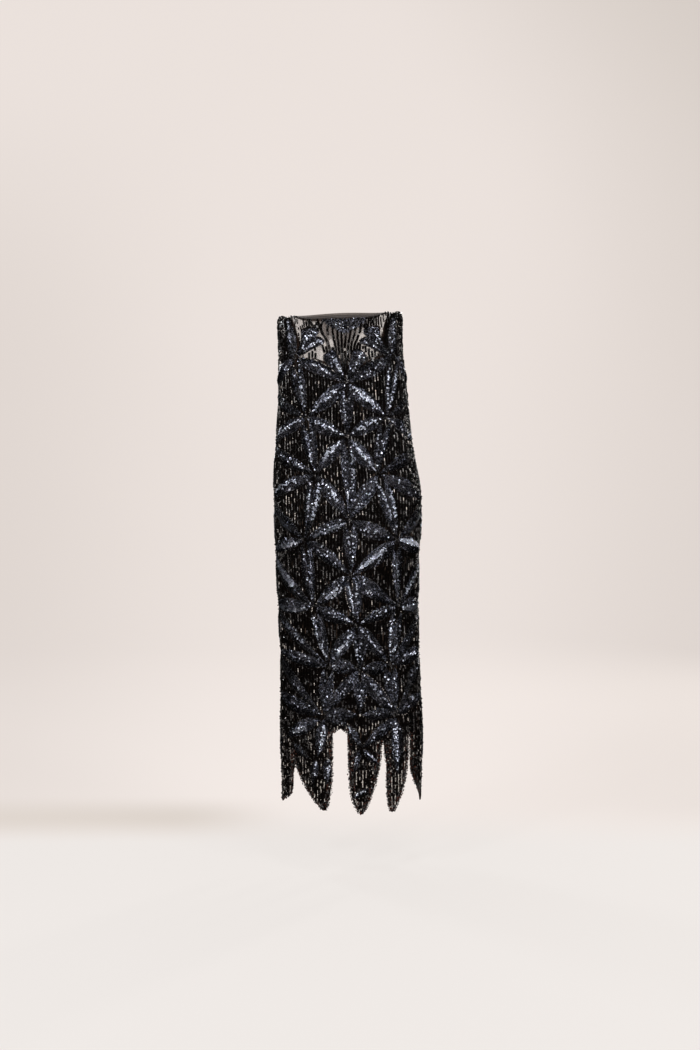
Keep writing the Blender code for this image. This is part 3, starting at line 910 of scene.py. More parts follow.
def tulle_finish():
    """Brown silk net with six-sided holes: almost clear at the yoke, closer below, with pale streaks of
    painted light.
    """
    finish = Finish("brown_tulle", Roughness=0.7, Specular_IOR_Level=0.03)
    across, up = finish.cut()
    drop = PANEL_LENGTH - up
    reach = []
    for shift in (0.0, 0.5):
        x = abs((across / NET_CELL + shift) % 1.0 - 0.5) * NET_CELL
        y = abs((up / NET_TALL + shift) % 1.0 - 0.5) * NET_TALL
        reach.append(x.highest(x * 0.5 + y * (math.sqrt(3) / 2)))
    thread = NET_CELL / 2 - reach[0].lowest(reach[1]) < NET_THREAD
    aside = abs(across - (PANEL_WIDTH / 2 - 0.003))
    close = aside.ramp(0.096, 0.108).highest(drop.ramp(0.088, 0.125))
    body = aside.ramp(0.014, 0.055, 0.34, 0.10).highest(close * 0.97)
    for x, y, half_width, half_length in WORN_GAPS:
        off = (across - (x + PANEL_WIDTH / 2)) / half_width, (drop - y) / half_length
        body = body.lowest((off[0] * off[0] + off[1] * off[1]).ramp(0.7, 1.3, 0.03, 1.0))
    # Painted light: pale streaks lower down, standing for glints and light showing through the net between
    # the rows.
    streak = finish.noise(1.0, 2.0, finish.joined(across * 330.0, up * 40.0)).ramp(0.58, 0.66)
    streak = streak * finish.noise(26.0, 1.0).ramp(0.50, 0.62)
    cloud = finish.noise(38.0, 3.0)
    brown = finish.mixed(cloud, (0.0004, 0.0003, 0.0003), (0.0032, 0.0017, 0.0013))
    brown = finish.mixed(close, (0.042, 0.025, 0.019), brown)
    grain = finish.noise(900.0, 1.0)
    return finish.feed(
        Base_Color=finish.mixed(streak * drop.ramp(0.12, 0.24) * 0.4, brown, (0.120, 0.082, 0.062)),
        Alpha=body + (1 - body) * thread * 0.6,
        Normal=finish.bump(thread + grain * 0.4, 0.0002),
    )


def glass_finish(name, dark, light, rough, level):
    """Cut glass: a colour that drifts from bead to bead, glossy, with a little wear on the facets."""
    finish = Finish(name, IOR=1.5, Specular_IOR_Level=level)
    drift = finish.noise(420.0, 1.0).ramp(0.36, 0.64)
    wear = finish.noise(2600.0, 2.0)
    return finish.feed(
        Base_Color=finish.mixed(drift, dark, light),
        Roughness=rough + wear * 0.16,
        Normal=finish.bump(wear, 0.00005),
    )


def foil_finish(name, dark, light, rough, metallic):
    """Sequin foil: its colour drifts over a leaf, and fine scratches vary its gloss."""
    finish = Finish(name, Metallic=metallic)
    drift = finish.noise(70.0, 2.0)
    scratch = finish.noise(3200.0, 3.0)
    return finish.feed(
        Base_Color=finish.mixed(drift.ramp(0.35, 0.65), dark, light),
        Roughness=rough + scratch * 0.22,
        Normal=finish.bump(scratch, 0.00006),
    )


def satin_finish():
    """Dark satin under the sequins, with fine threads."""
    finish = Finish("leaf_satin", Roughness=0.5, Sheen_Weight=0.1)
    across, up = finish.cut()
    threads = ((across + up * 0.4) * 9000.0).wave() * 0.5 + 0.5
    cloud = finish.noise(120.0)
    return finish.feed(
        Base_Color=finish.mixed(cloud * 0.7 + threads * 0.3, (0.005, 0.005, 0.006), (0.020, 0.019, 0.022)),
        Normal=finish.bump(threads, 0.0001),
    )


def binding_finish():
    """Brown silk crepe folded over the edge, with fine ribs across it; a painted highlight makes it paler on
    the fold.
    """
    finish = Finish("binding_crepe", Roughness=0.58, Sheen_Weight=0.25)
    around, over = finish.mapped()
    ribs = (around * 2600.0).wave() * 0.5 + 0.5
    cloud = finish.noise(75.0, 4.0)
    brown = finish.mixed(cloud, (0.024, 0.017, 0.014), (0.050, 0.037, 0.032))
    from_fold = abs(over - 0.5)
    # Painted highlight: paler near the fold, at the strip's top.
    pale = finish.mixed(from_fold.ramp(0.20, 0.32, 0.75, 0.0), brown, (0.096, 0.076, 0.063))
    # Darker along the sewn groove, and painted shade along the strip's lower edges.
    sewn = abs(from_fold - 0.325).ramp(0.014, 0.034, 0.95, 0.0).highest(from_fold.ramp(0.44, 0.49, 0.0, 0.9))
    pale = finish.mixed(sewn, pale, (0.010, 0.006, 0.005))
    return finish.feed(
        Base_Color=finish.mixed(ribs * 0.22, pale, (0.03, 0.02, 0.017)),
        Normal=finish.bump(ribs, 0.0002),
    )


def thread_finish():
    """Dark silk thread of the running stitches."""
    finish = Finish("dark_thread", Roughness=0.6)
    twist = finish.noise(1500.0)
    return finish.feed(Base_Color=finish.mixed(twist, (0.006, 0.004, 0.004), (0.022, 0.015, 0.013)))


def paper_finish():
    """Pale seamless paper that glows a little, which is painted light: palest round the gown and dimmer to
    the sides, with a painted darker corner and a painted shade band.
    """
    finish = Finish("paper", Roughness=0.9, Emission_Strength=1.0)
    where = finish.place()
    across, depth, up = finish.parts(where)
    far = depth.ramp(0.10, 0.60)
    glow = finish.mixed(far, PAPER_FLOOR, PAPER_WALL)
    fan = abs(across) / (depth + 3.5).highest(0.5)
    glow = finish.mixed(fan.ramp(0.05, 0.25) * far * up.ramp(0.2, 2.0, 1.0, 0.0), glow, PAPER_SIDES)
    # Painted shade: darker towards the upper right.
    glow = finish.mixed((across * 0.6 + up * 0.4).ramp(0.9, 2.2), glow, PAPER_SHADED_CORNER)
    # Painted shade: a darker band on the floor to the left, a little behind the gown.
    shade_band = abs(depth - 0.42).ramp(0.0, 0.26, 1.0, 0.0) * across.ramp(-0.45, -0.1, 1.0, 0.0)
    glow = finish.mixed(shade_band * up.ramp(-1.2, -1.0, 1.0, 0.0), glow, PAPER_SHADE_BAND)
    cloud = finish.noise(1.3, 1.0)
    return finish.feed(
        Base_Color=finish.mixed(cloud, (0.095, 0.091, 0.088), (0.105, 0.100, 0.097)),
        Emission_Color=glow,
    )


# ---- tulle -------------------------------------------------------------------------------------------------
def tulle_sheet(name, cloth, finish):
    """The panel as one thin shell, its hem cut into tongues."""
    even = np.linspace(0.0, 1.0, TULLE_COLUMNS + 1)
    marks = [0.0, *cloth.marks, 1.0]
    columns = [round(mark * TULLE_COLUMNS) for mark in marks]
    rooted = np.interp(even * TULLE_COLUMNS, columns, marks)
    drops = np.concatenate([armhole_drops(0.0, 25, 15)[:-1], np.linspace(-UNDERARM, -TONGUE_ROOT, 90)])
    flat = []
    for drop in drops:
        shares = even + (rooted - even) * smooth(drop, 0.66, -TONGUE_ROOT)
        edge = cloth.edge(drop)
        flat.append(np.stack([(shares * 2 - 1) * edge, np.full_like(shares, drop)], axis=1))
    faces = [grid_faces(len(drops), TULLE_COLUMNS + 1)]
    last_row = (len(drops) - 1) * (TULLE_COLUMNS + 1)
    count = len(drops) * (TULLE_COLUMNS + 1)
    for index, (first, last) in enumerate(zip(columns, columns[1:])):
        tip = cloth.tongues[index][1]
        inner = (rooted[first : last + 1] - rooted[first]) / (rooted[last] - rooted[first])
        apexes = [apex for _, apex, _ in cloth.slits[max(0, index - 1) : index + 1]]
        arch = [apex - SLIT_ROUNDING * share for apex in apexes for share in ARCH_SHARES]
        evenly = TONGUE_ROOT + (tip - TONGUE_ROOT) * np.linspace(0, 1, 46)[1:]
        heights = sorted({*evenly, *arch}, reverse=True)
        width = last - first + 1
        for height in heights:
            low, high = cloth.tongue_span(index, height)
            shares = low + (high - low) * inner
            flat.append(np.stack([(shares - 0.5) * PANEL_WIDTH, np.full_like(shares, -height)], axis=1))
        upper = np.arange(last_row + first, last_row + last + 1)
        faces.append(quads_of(np.vstack([upper, count + np.arange(len(heights) * width).reshape(-1, width)])))
        count += len(heights) * width
    flat = np.concatenate(flat)
    points = cloth.on(flat)[0]
    if cloth.side > 0:
        faces = [group[:, ::-1] for group in faces]
    piece = new_piece(name, points, faces, [finish], on_cut(flat))
    wall = piece.modifiers.new("net", "SOLIDIFY")
    wall.thickness = TULLE_THICK
    wall.offset = 0
    return piece


# ---- leaves ------------------------------------------------------------------------------------------------
class Leaf:
    """A pointed or blunt pad between two flat places, a little bowed, with a ridge along its middle."""

    def __init__(self, start, end, width, shiny, bow=0.0, skew=0.8, blunt=0):
        self.start = np.array(start, float)
        way = np.array(end, float) - self.start
        self.length = float(np.linalg.norm(way))
        self.width, self.shiny, self.bow, self.skew, self.blunt = width, shiny, bow, skew, blunt
        self.axis = way / self.length
        self.beside = np.array((-self.axis[1], self.axis[0]))

    def half_width(self, t):
        t = np.clip(t, 0, 1)
        if self.blunt:
            return self.width / 2 * t**self.blunt * np.sqrt(1 - t**14)
        return self.width / 2 * np.sin(math.pi * t**self.skew) ** 0.9

    def flat(self, t, w):
        """Flat place at t along the leaf and w, -1 to 1, across it."""
        t, w = np.broadcast_arrays(t, w)
        off = w * self.half_width(t) + self.bow * 4 * t * (1 - t)
        return self.start + self.axis * (t * self.length)[..., None] + self.beside * off[..., None]

    def height(self, t, w):
        """Height over the net: full over the middle half of the leaf's length, and less on a narrow leaf."""
        t = np.clip(t, 0, 1)
        rise = np.minimum(1.0, 4 * t) * np.minimum(1.0, 4 * (1 - t)) * min(1.0, self.width / LEAF_WIDTH + 0.2)
        return GROUND_LIFT + RIDGE * rise * (1 - np.abs(w) ** 1.15)

    def covers(self, across, drop, margin):
        """True for flat places under the leaf or within a margin of its edges."""
        away = np.stack([across, drop], axis=-1) - self.start
        t = away @ self.axis / self.length
        w = away @ self.beside - self.bow * 4 * t * (1 - t)
        return (t > 0) & (t < 1) & (np.abs(w) < self.half_width(t) + margin)

    def rims(self, pitch):
        """The outline as lists of t and w, one for each edge."""
        t = np.linspace(0.02, 0.98, int(self.length / pitch))
        return [(t, np.full_like(t, side * 1.04)) for side in (-1.0, 1.0)]


class Fan:
    """The half round under the neck, read like a leaf: t runs out from its middle, w from end to end."""

    length, shiny = FAN_DEEP, True

    def half_width(self, t):
        return math.pi / 4 * (FAN_WIDE + FAN_DEEP) * np.clip(t, 0.02, 1)

    def flat(self, t, w):
        angle = (np.asarray(w) + 1) * math.pi / 2
        turn = np.stack([np.cos(angle), np.sin(angle)])
        cos, sin = np.sign(turn) * np.abs(turn) ** (2 / FAN_POINTED)
        return np.stack([FAN_ACROSS - FAN_WIDE * t * cos, FAN_TOP + FAN_DEEP * t * sin], axis=-1)

    def height(self, t, w):
        return GROUND_LIFT + FAN_DOME * (1 - np.clip(t, 0, 1) ** 3) + 0 * w

    def covers(self, across, drop, margin):
        share = np.abs(across - FAN_ACROSS) / (FAN_WIDE + margin), drop / (FAN_DEEP + margin)
        return share[0] ** FAN_POINTED + share[1] ** FAN_POINTED < 1

    def rims(self, pitch):
        """Two arcs as lists of t and w: one within the half round and one at its edge."""
        w = np.linspace(-0.98, 0.98, int(math.pi / 2 * (FAN_WIDE + FAN_DEEP) / pitch))
        return [(np.full_like(w, t), w) for t in (0.62, 1.02)]


def star_places(phase):
    """Flat places of the stars of a panel, by row: left seam, left side, middle, right side, right seam."""
    half = PANEL_WIDTH / 2
    return [
        (
            (-half, seam), (shift - reach, side + phase), (shift, middle + phase),
            (shift + reach, side + phase), (half, seam),
        )
        for middle, shift, side, reach, seam in STAR_ROWS
    ]


def leaf_between(a, b, width, spread=0.0):
    """A leaf from beside one star to the next, no two quite alike."""
    a, b = np.array(a), np.array(b)
    way = (b - a) / np.linalg.norm(b - a)
    start = a + way * (SPEAR_STARTS if spread else LEAF_STARTS) + np.array((-way[1], way[0])) * spread
    shape = rng.uniform((0.84, -0.003, 0.62), (1.16, 0.003, 1.0))
    return Leaf(start, b - way * LEAF_STARTS, width * shape[0], rng.random() < 0.5, shape[1], shape[2])


def leaves_of(phase, extras):
    """The extra leaves, those between stars, and pairs of narrow ones down each column."""
    stars = star_places(phase)
    leaves = [Leaf((a, b), (c, d), width, shiny, blunt=blunt) for a, b, c, d, width, blunt, shiny in extras]
    for row, places in enumerate(stars):
        left_seam, left, middle, right, right_seam = places
        for a, b in ((left, middle), (right, middle), (left, left_seam), (right, right_seam)):
            leaves.append(leaf_between(a, b, LEAF_WIDTH))
        if row + 1 == len(stars):
            continue
        below = stars[row + 1]
        for a, b in ((middle, below[1]), (middle, below[3]), (left_seam, below[1]), (right_seam, below[3])):
            leaves.append(leaf_between(a, b, LEAF_WIDTH))
        for column in range(5):
            for side in {0: (-1,), 4: (1,)}.get(column, (-1, 1)):
                leaves.append(leaf_between(places[column], below[column], SPEAR_WIDTH, side * SPEAR_SPREAD))
    return leaves, stars


def leaf_surface(cloth, leaf, t, w, lift=0.0):
    """Points on a leaf's dome, on the worn cloth."""
    point, normal, _, _ = cloth.on(leaf.flat(t, w))
    return point + normal * (leaf.height(t, w) + lift)[..., None]


def leaf_grounds(name, cloth, leaves, finish):
    """The satin ground of every leaf, domed by a little padding."""
    along, over = np.linspace(0.01, 0.99, GROUND_ALONG), np.linspace(-1.0, 1.0, GROUND_OVER)
    t, w = np.meshgrid(along, over, indexing="ij")
    points = np.stack([leaf_surface(cloth, leaf, t, w) for leaf in leaves]).reshape(-1, 3)
    flat = np.stack([on_cut(leaf.flat(t, w)) for leaf in leaves]).reshape(-1, 2)
    faces = [grid_faces(*t.shape, first) for first in range(0, len(points), t.size)]
    return new_piece(name, points, [np.concatenate(faces)], [finish], flat)


def leaf_frames(cloth, leaf, t, w, lift):
    """Points over a leaf with their normals, the direction towards its tip and their flat places."""
    ahead, aside = 0.02, 0.1
    here = leaf_surface(cloth, leaf, t, w, lift)
    onward = leaf_surface(cloth, leaf, t + ahead, w) - leaf_surface(cloth, leaf, t - ahead, w)
    beside = leaf_surface(cloth, leaf, t, w + aside) - leaf_surface(cloth, leaf, t, w - aside)
    flat = leaf.flat(t, w)
    _, outward, _, _ = cloth.on(flat)
    normal = unit(np.cross(onward, beside))
    normal *= np.sign((normal * outward).sum(-1, keepdims=True))
    return here, normal, square_to(onward, normal), flat


def sequin_leaf(setting, cloth, leaf):
    """Overlapping sequins over a leaf, each leaning on the next, with a painted highlight along one half and
    painted shade on the other.
    """
    rows = max(3, int(leaf.length / SEQUIN_ALONG))
    ts, ws = [], []
    for row in range(rows):
        t = (row + 0.7) / (rows + 0.4)
        count = max(1, round(2 * float(leaf.half_width(t)) / SEQUIN_ACROSS))
        shift = 0.15 if row % 2 else -0.15
        ts.append(np.full(count, t))
        ws.append((np.arange(count) + 0.5 + shift) / count * 2 - 1)
    t, w = np.concatenate(ts), np.concatenate(ws)
    count = len(t)
    t = t + rng.normal(0, 0.15, count) / rows
    w = np.clip(w + rng.normal(0, 0.04, count), -1, 1)
    here, normal, onward, flat = leaf_frames(cloth, leaf, t, w, SEQUIN_LIFT)
    # Painted highlight: a streak on one side takes the bright foil, with a share that changes down the gown.
    side = 1.0 if rng.random() < 0.5 else -1.0
    first, last = rng.uniform((0.04, 0.62), (0.30, 0.96))
    lit = (side * w > -0.05) & (side * w < rng.uniform(0.35, 0.75)) & (t > first) & (t < last)
    level = np.interp(leaf.flat(0.5, 0.0)[1], GLINT_DROPS, GLINT_LEVELS)
    lit &= rng.random(count) < rng.choice(GLINTS) * level
    loose = np.where(lit, 0.12, 0.06)
    onward, normal = turned(onward, normal, rng.normal(0.22, loose))
    beside, normal = turned(np.cross(normal, onward), normal, rng.normal(0.0, loose))
    sizes = uneven(SEQUIN_RADIUS, count, 0.85, 1.1)
    # Painted shade: the far half takes the dull foil.
    plain = np.where(side * w < -0.15, 1, 0 if leaf.shiny else 1)
    bright = lit | (rng.random(count) < STRAY_GLINTS)
    kinds = np.where(bright, 2, np.where(rng.random(count) < SAME_FOIL, plain, 1 - plain))
    setting.add(here, (beside, onward, normal), sizes, flat, kinds)


def leaf_outline(setting, cloth, leaf):
    """Cut beads along the edges of a leaf. Now and then an edge is set with pale beads, as painted glints."""
    for t, w in leaf.rims(EDGE_PITCH):
        count = len(t)
        t = t + rng.normal(0, 0.08, count) / count
        here, normal, onward, flat = leaf_frames(cloth, leaf, t, w, 0.0005)
        onward, normal = turned(onward, normal, rng.normal(0, 0.2, count))
        sizes = uneven((EDGE_BEAD, EDGE_BEAD, EDGE_BEAD * 1.25), count, 0.8, 1.15)
        pale_glints = 0.4 if rng.random() < 0.07 else 0.02
        kinds = glass_kinds(rng.random(count) < pale_glints, 0.25)
        setting.add(here, (np.cross(normal, onward), normal, onward), sizes, flat, kinds)


def rosettes(setting, cloth, stars):
    """A large cut bead on each star, ringed with small ones."""
    stars = np.array(stars)
    rounds = [(stars, 1.9)]
    for k in range(STAR_BEADS):
        angle = math.tau * k / STAR_BEADS
        rounds.append((stars + STAR_RADIUS * np.array((math.cos(angle), math.sin(angle))), 1.0))
    for places, scale in rounds:
        point, normal, side_on, down = cloth.on(places)
        sizes = uneven(EDGE_BEAD * 1.15 * scale, len(places), 0.85, 1.15)
        kinds = glass_kinds(rng.random(len(places)) < 0.05, 0.5)
        setting.add(point + normal * STAR_LIFT, (side_on, down, normal), sizes, places, kinds)


# ---- rows and edges of beads -------------------------------------------------------------------------------
def walk(cloth, line, at):
    """Flat places at distances along a flat line, with the line's direction there on the worn cloth."""
    run = run_along(line)
    behind, here, ahead = (
        read_along(line, run, np.clip(at + step, 0, run[-1])) for step in (-LINE_STEP, 0.0, LINE_STEP)
    )
    return here, cloth.on(ahead)[0] - cloth.on(behind)[0]


def row_axes(cloth, places, way):
    """Point, then unit directions along a row, beside it and out of the cloth."""
    point, normal, _, _ = cloth.on(places)
    down = square_to(way, normal)
    return point, down, np.cross(down, normal), normal


def ray_line(foot, t):
    """The top of a row that starts from the half round's rim and spreads like a ray."""
    share = (foot - FAN_ACROSS) / FAN_ROWS_FROM
    angle = math.copysign(abs(share) ** RAY_BUNCHING, share) * RAY_SPREAD
    way = np.array((math.sin(angle), math.cos(angle)))
    rim = FAN_DEEP * (1 - abs(share) ** FAN_POINTED) ** (1 / FAN_POINTED)
    start, end = np.array((FAN_ACROSS + share * FAN_WIDE, rim)), np.array((foot, RAYS_END))
    span = np.linalg.norm(end - start)
    return hermite(t[:, None], start, way * span, end, np.array((0.0, span)))


def side_line(foot, t, columns, seen):
    """The top of a row beside the half round, straight as worn. seen: how far aside each column stands."""
    away = foot - FAN_ACROSS
    top = np.interp(abs(away), (FAN_ROWS_FROM, SHOULDER_ROWS, 1.0), (*TOP_ROWS, 1.0))
    worn = math.copysign(top, away) * (1 - t) + np.interp(foot, columns, seen[-1]) * t
    across = np.array([np.interp(place, row, columns) for place, row in zip(worn, seen)])
    across += (foot - across[-1]) * t
    return np.stack([across, t * RAYS_END], axis=1)


def row_lines(cloth):
    """The bugle rows as flat lines from the neck to the hem."""
    rows = round(PANEL_WIDTH / BUGLE_PITCH)
    t = np.linspace(0.0, 1.0, 20)
    columns = np.linspace(-0.15, 0.15, 121)
    seen = cloth.at(columns, t[:, None] * RAYS_END)[0][..., 0]
    lines = []
    for foot in (np.arange(rows) + 0.5) / rows * PANEL_WIDTH - PANEL_WIDTH / 2:
        near = abs(foot - FAN_ACROSS) < FAN_ROWS_FROM
        bend = ray_line(foot, t) if near else side_line(foot, t, columns, seen)
        lines.append(np.vstack([bend, [(foot, PANEL_LENGTH)]]))
    return lines


def patchy(across, drop):
    """The share of pale bugles: high in scattered patches a few rows wide, low elsewhere."""
    field = np.where(drop > TONGUE_TOP, PALE_TONGUES, PALE_ROWS)
    for *place, share in PALE_PATCHES:
        field = np.where(oval(across, drop, place) < 1, np.maximum(field, share), field)
    return field


def thick_rows(across, drop):
    """1 over the clear net of the yoke, where the rows are thick, and 0 elsewhere."""
    near_neck = np.where(across < FAN_ACROSS, YOKE_THICK_LEFT, YOKE_THICK_RIGHT)
    reach = near_neck + (YOKE_THICK_BELOW - near_neck) * smooth(drop, 0.045, 0.070)
    return (1 - smooth(drop, 0.10, 0.13)) * (1 - smooth(np.abs(across - FAN_ACROSS) - reach, 0.0, 0.02))


def bugles_along(cloth, line):
    """Bugle beads end to end along a flat line: places, directions and lengths."""
    end, at, beads = run_along(line)[-1], rng.uniform(0.001, 0.004), []
    while at < end:
        length = rng.uniform(*BUGLE_LENGTHS)
        beads.append((at + length / 2, length))
        at += length + rng.uniform(*BUGLE_GAPS) + (0.004 if rng.random() < 0.05 else 0.0)
    at, lengths = np.array(beads).T
    return *walk(cloth, line, at), lengths


def bugle_rows(settings, cloth, leaves, open_yoke):
    """Bugle beads in rows, left out under the leaves and where the yoke is worn."""
    rows = [bugles_along(cloth, line) for line in row_lines(cloth)]
    places, way, length = (np.concatenate(part) for part in zip(*rows))
    places[:, 0] += rng.normal(0, 0.0003, len(places))
    across, drop = places.T
    keep = cloth.holds(across, drop, BUGLE_INSIDE)
    if open_yoke:
        keep &= drop > YOKE_ENDS
    for gap in WORN_GAPS:
        keep &= oval(across, drop, gap) > 1
    for leaf in leaves:
        keep &= ~leaf.covers(across, drop, BUGLE_RADIUS)
    places, way, length = places[keep], way[keep], length[keep]
    across, drop = places.T
    point, down, side_on, normal = row_axes(cloth, places, way)
    down, side_on = turned(down, side_on, rng.normal(0, 0.035, len(drop)))
    loose = 0.04 + 0.14 * smooth(np.abs(across), 0.150, 0.190)
    down, normal = turned(down, normal, rng.normal(0, loose))
    first, second = turned(side_on, normal, rng.uniform(0, math.pi / 3, len(drop)))
    # Pale bugles paint glints and light showing through the net, mostly in the listed patches.
    pale_glints = rng.random(len(drop)) < patchy(across, drop)
    radius = BUGLE_RADIUS * (1 + (YOKE_BUGLES - 1) * thick_rows(across, drop))
    radius = np.where(pale_glints, PALE_BUGLE_RADIUS, radius)
    sizes = np.stack([radius, radius, length], axis=1)
    point = point + normal * (BUGLE_RADIUS + TULLE_THICK)
    kinds = glass_kinds(pale_glints, np.where(drop > YOKE_ENDS, GLEAM_ROWS, GLEAM_YOKE))
    upper = drop < ROWS_PART
    for setting, mine in zip(settings, (upper, ~upper)):
        axes = first[mine], second[mine], -down[mine]
        setting.add(point[mine], axes, sizes[mine], places[mine], kinds[mine])


def scattered_beads(setting, cloth, leaves, count, top, pale):
    """Small cut beads here and there between the rows."""
    places = rng.uniform((-0.205, top), (0.205, 1.10), (count, 2))
    keep = cloth.holds(*places.T, 0.002)
    for leaf in leaves:
        keep &= ~leaf.covers(*places.T, 0.0)
    places = places[keep]
    count = len(places)
    point, normal, side_on, down = cloth.on(places)
    side_on, down = turned(side_on, down, rng.uniform(0, math.pi, count))
    # Pale ones paint glints.
    pale_glints = rng.random(count) < pale
    sizes = uneven(1.0, count, *LOOSE_SIZES) * np.where(pale_glints, 0.7, 1.0)[:, None]
    where = point + normal * rng.uniform(0.0018, 0.0036, (count, 1))
    setting.add(where, (side_on, down, normal), sizes, places, glass_kinds(pale_glints, 0.6))


def armhole_lines(cloth):
    """Flat lines just inside the armholes."""
    drops = armhole_drops(0.002, 30, 24)
    lines = []
    for inside in ARMHOLE_ROWS:
        kept = drops[drops > (0.0 if inside < 0.008 else 0.012)]
        reach = cloth.edge(kept) - inside
        lines += [np.stack([end * reach, kept], axis=1) for end in (-1, 1)]
    return lines


def slit_lines(cloth, index, end, apex):
    """Flat lines down one edge of a tongue, from the slit beside it to the tip."""
    heights = apex - 0.0002 - (apex - cloth.tongues[index][1] - 0.0015) * np.linspace(0, 1, 90) ** 1.5
    spans = np.array([cloth.tongue_span(index, height) for height in heights])
    wide = spans[:, 1] - spans[:, 0]
    lines = []
    for inside in TONGUE_ROWS:
        room = np.minimum(inside / PANEL_WIDTH, 0.45 * wide)
        shares = spans[:, end] + (1 - 2 * end) * room
        lines.append(np.stack([(shares - 0.5) * PANEL_WIDTH, -heights], axis=1))
    return lines


def edge_lines(cloth):
    """Flat lines for the rows that firm the armholes and the tongues."""
    lines = armhole_lines(cloth)
    for index in range(len(cloth.tongues)):
        for end in (0, 1):
            slit = cloth.slit_beside(index, end)
            if slit:
                lines += slit_lines(cloth, index, end, slit[1])
    return lines


def edge_rows(setting, cloth):
    """Short cut beads sewn end to end along the edges, a little unevenly. Some on the tongues are rust."""
    for line in edge_lines(cloth):
        at = np.arange(0.001, run_along(line)[-1], EDGE_ROW_PITCH)
        count = len(at)
        places, way = walk(cloth, line, at + rng.normal(0, 0.0003, count))
        places = places + rng.normal(0, 0.0008, places.shape)
        point, down, side_on, normal = row_axes(cloth, places, way)
        down, side_on = turned(down, side_on, rng.normal(0, 0.15, count))
        sizes = uneven(EDGE_ROW_BEAD, count, 0.7, 1.4)
        low = places[:, 1] > RUST_FROM
        kinds = glass_kinds(rng.random(count) < np.where(low, 0.05, 0.03), 0.45)
        kinds = np.where((kinds == 0) & low & (rng.random(count) < RUST_SHARE), 3, kinds)
        setting.add(point + normal * 0.0012, (side_on, normal, down), sizes, places, kinds)


def seam_rows(setting, cloths):
    """A knobbly line of beads down each side seam."""
    drops = np.arange(-UNDERARM + 0.003, 1.098, SEAM_PITCH)
    count = len(drops)
    for end in (-1, 1):
        for shift in (-0.0016, 0.0016):
            drop = drops + rng.normal(0, 0.0004, count)
            front, back = (cloth.at(end * cloth.edge(drop), drop) for cloth in cloths)
            point = (front[0] + back[0]) / 2
            out, down = unit(front[1] + back[1]), unit(front[3] + back[3])
            forward = np.cross(out, down)
            where = point + forward * shift + out * (0.0006 + 0.0034 * rng.random((count, 1)) ** 3)
            sizes = uneven(SEAM_BEAD, count, 0.7, 1.4)
            kinds = glass_kinds(rng.random(count) < 0.03, 0.3)
            places = np.stack([end * cloths[0].edge(drop) + shift, drop], axis=1)
            setting.add(where, (out, forward, down), sizes, places, kinds)


# ---- neck and armholes -------------------------------------------------------------------------------------
def binding_frame(turn):
    """Directions down the cloth and away from it, along the neck binding."""
    slope = neck_slope(turn)
    along = unit(neck_point(turn + TURN_STEP, 0.0) - neck_point(turn - TURN_STEP, 0.0))
    outward = unit(np.cross(along, slope))
    outward *= np.where((outward * (neck_edge(turn) + WORLD_Z * 0.05)).sum(-1, keepdims=True) < 0, -1.0, 1.0)
    return along, slope, outward


def binding_lift(down):
    """Half the thickness of the folded strip: full, with a sewn groove, and closed at its lower edge."""
    groove = 0.65 * np.exp(-(((down - NECK_SEAM) / 0.0009) ** 2))
    return BINDING_THICK / 2 * (1 - groove) * (1 - 0.35 * smooth(down, 0.008, BINDING_WIDTH))


def make_binding(finish):
    """The silk strip folded over the neck edge: down the outside, over the fold and down the inside."""
    stations = 216
    turn = np.arange(stations) / stations * math.tau
    _, _, outward = binding_frame(turn)
    downs = np.linspace(BINDING_WIDTH, BINDING_THICK / 2, 18)
    bend = np.linspace(0.0, math.pi, 9)[1:-1]
    profile = [(down, float(binding_lift(down))) for down in downs]
    profile += [(BINDING_THICK / 2 * (1 - math.sin(a)), BINDING_THICK / 2 * math.cos(a)) for a in bend]
    profile += [(down, -float(binding_lift(down))) for down in downs[::-1]]
    profile = np.array(profile)
    over = run_along(profile)
    points = np.stack([neck_point(turn, down) + outward * lift for down, lift in profile], axis=1)
    flat = np.stack(np.broadcast_arrays(turn[:, None] / math.tau, over[None] / over[-1]), axis=-1)
    faces = grid_faces(stations, len(profile), looped=True)
    return new_piece("binding", points.reshape(-1, 3), [faces], [finish], flat.reshape(-1, 2))


def neck_stitches(setting):
    """Running stitches in the binding's groove, outside and inside."""
    fine = np.linspace(0.0, math.tau, 1441)
    run = run_along(neck_point(fine, NECK_SEAM))
    turn = np.interp(np.arange(0.001, run[-1] - 0.001, NECK_STITCH_PITCH), run, fine)
    along, slope, outward = binding_frame(turn)
    lift = float(binding_lift(np.array(NECK_SEAM)))
    sizes = np.broadcast_to(STITCH, (len(turn), 3))
    for side in (-1.0, 1.0):
        where = neck_point(turn, NECK_SEAM) + outward * side * (lift + 0.0001)
        places = np.stack([map_across(turn / math.tau), np.full(len(turn), 0.1 + 0.1 * side)], axis=1)
        setting.add(where, (outward, slope, along), sizes, places)


def armhole_line(cloths, end):
    """The armhole's edge as a closed line: front from shoulder to underarm, then back upwards."""
    drops = armhole_drops(0.0, 30, 40)
    halves = []
    for cloth in cloths:
        point, _, side_on, _ = cloth.at(end * cloth.edge(drops), drops)
        off = square_to(end * side_on, unit(np.gradient(point, axis=0)))
        halves.append((point + off * ROLL_OFFSET, off))
    return (np.concatenate([front, back[-2:0:-1]]) for front, back in zip(*halves))


def even_line(line, off, pitch):
    """A closed line set out evenly: places, directions, and how far they are from its start."""
    line, off = (np.vstack([part, part[:1]]) for part in (line, off))
    run = run_along(line)
    at = np.linspace(0.0, run[-1], round(run[-1] / pitch), endpoint=False)
    point, out = read_along(line, run, at), read_along(off, run, at)
    along = unit(np.roll(point, -1, axis=0) - np.roll(point, 1, axis=0))
    out = square_to(out, along)
    return point, along, out, np.cross(along, out), np.minimum(at, run[-1] - at)


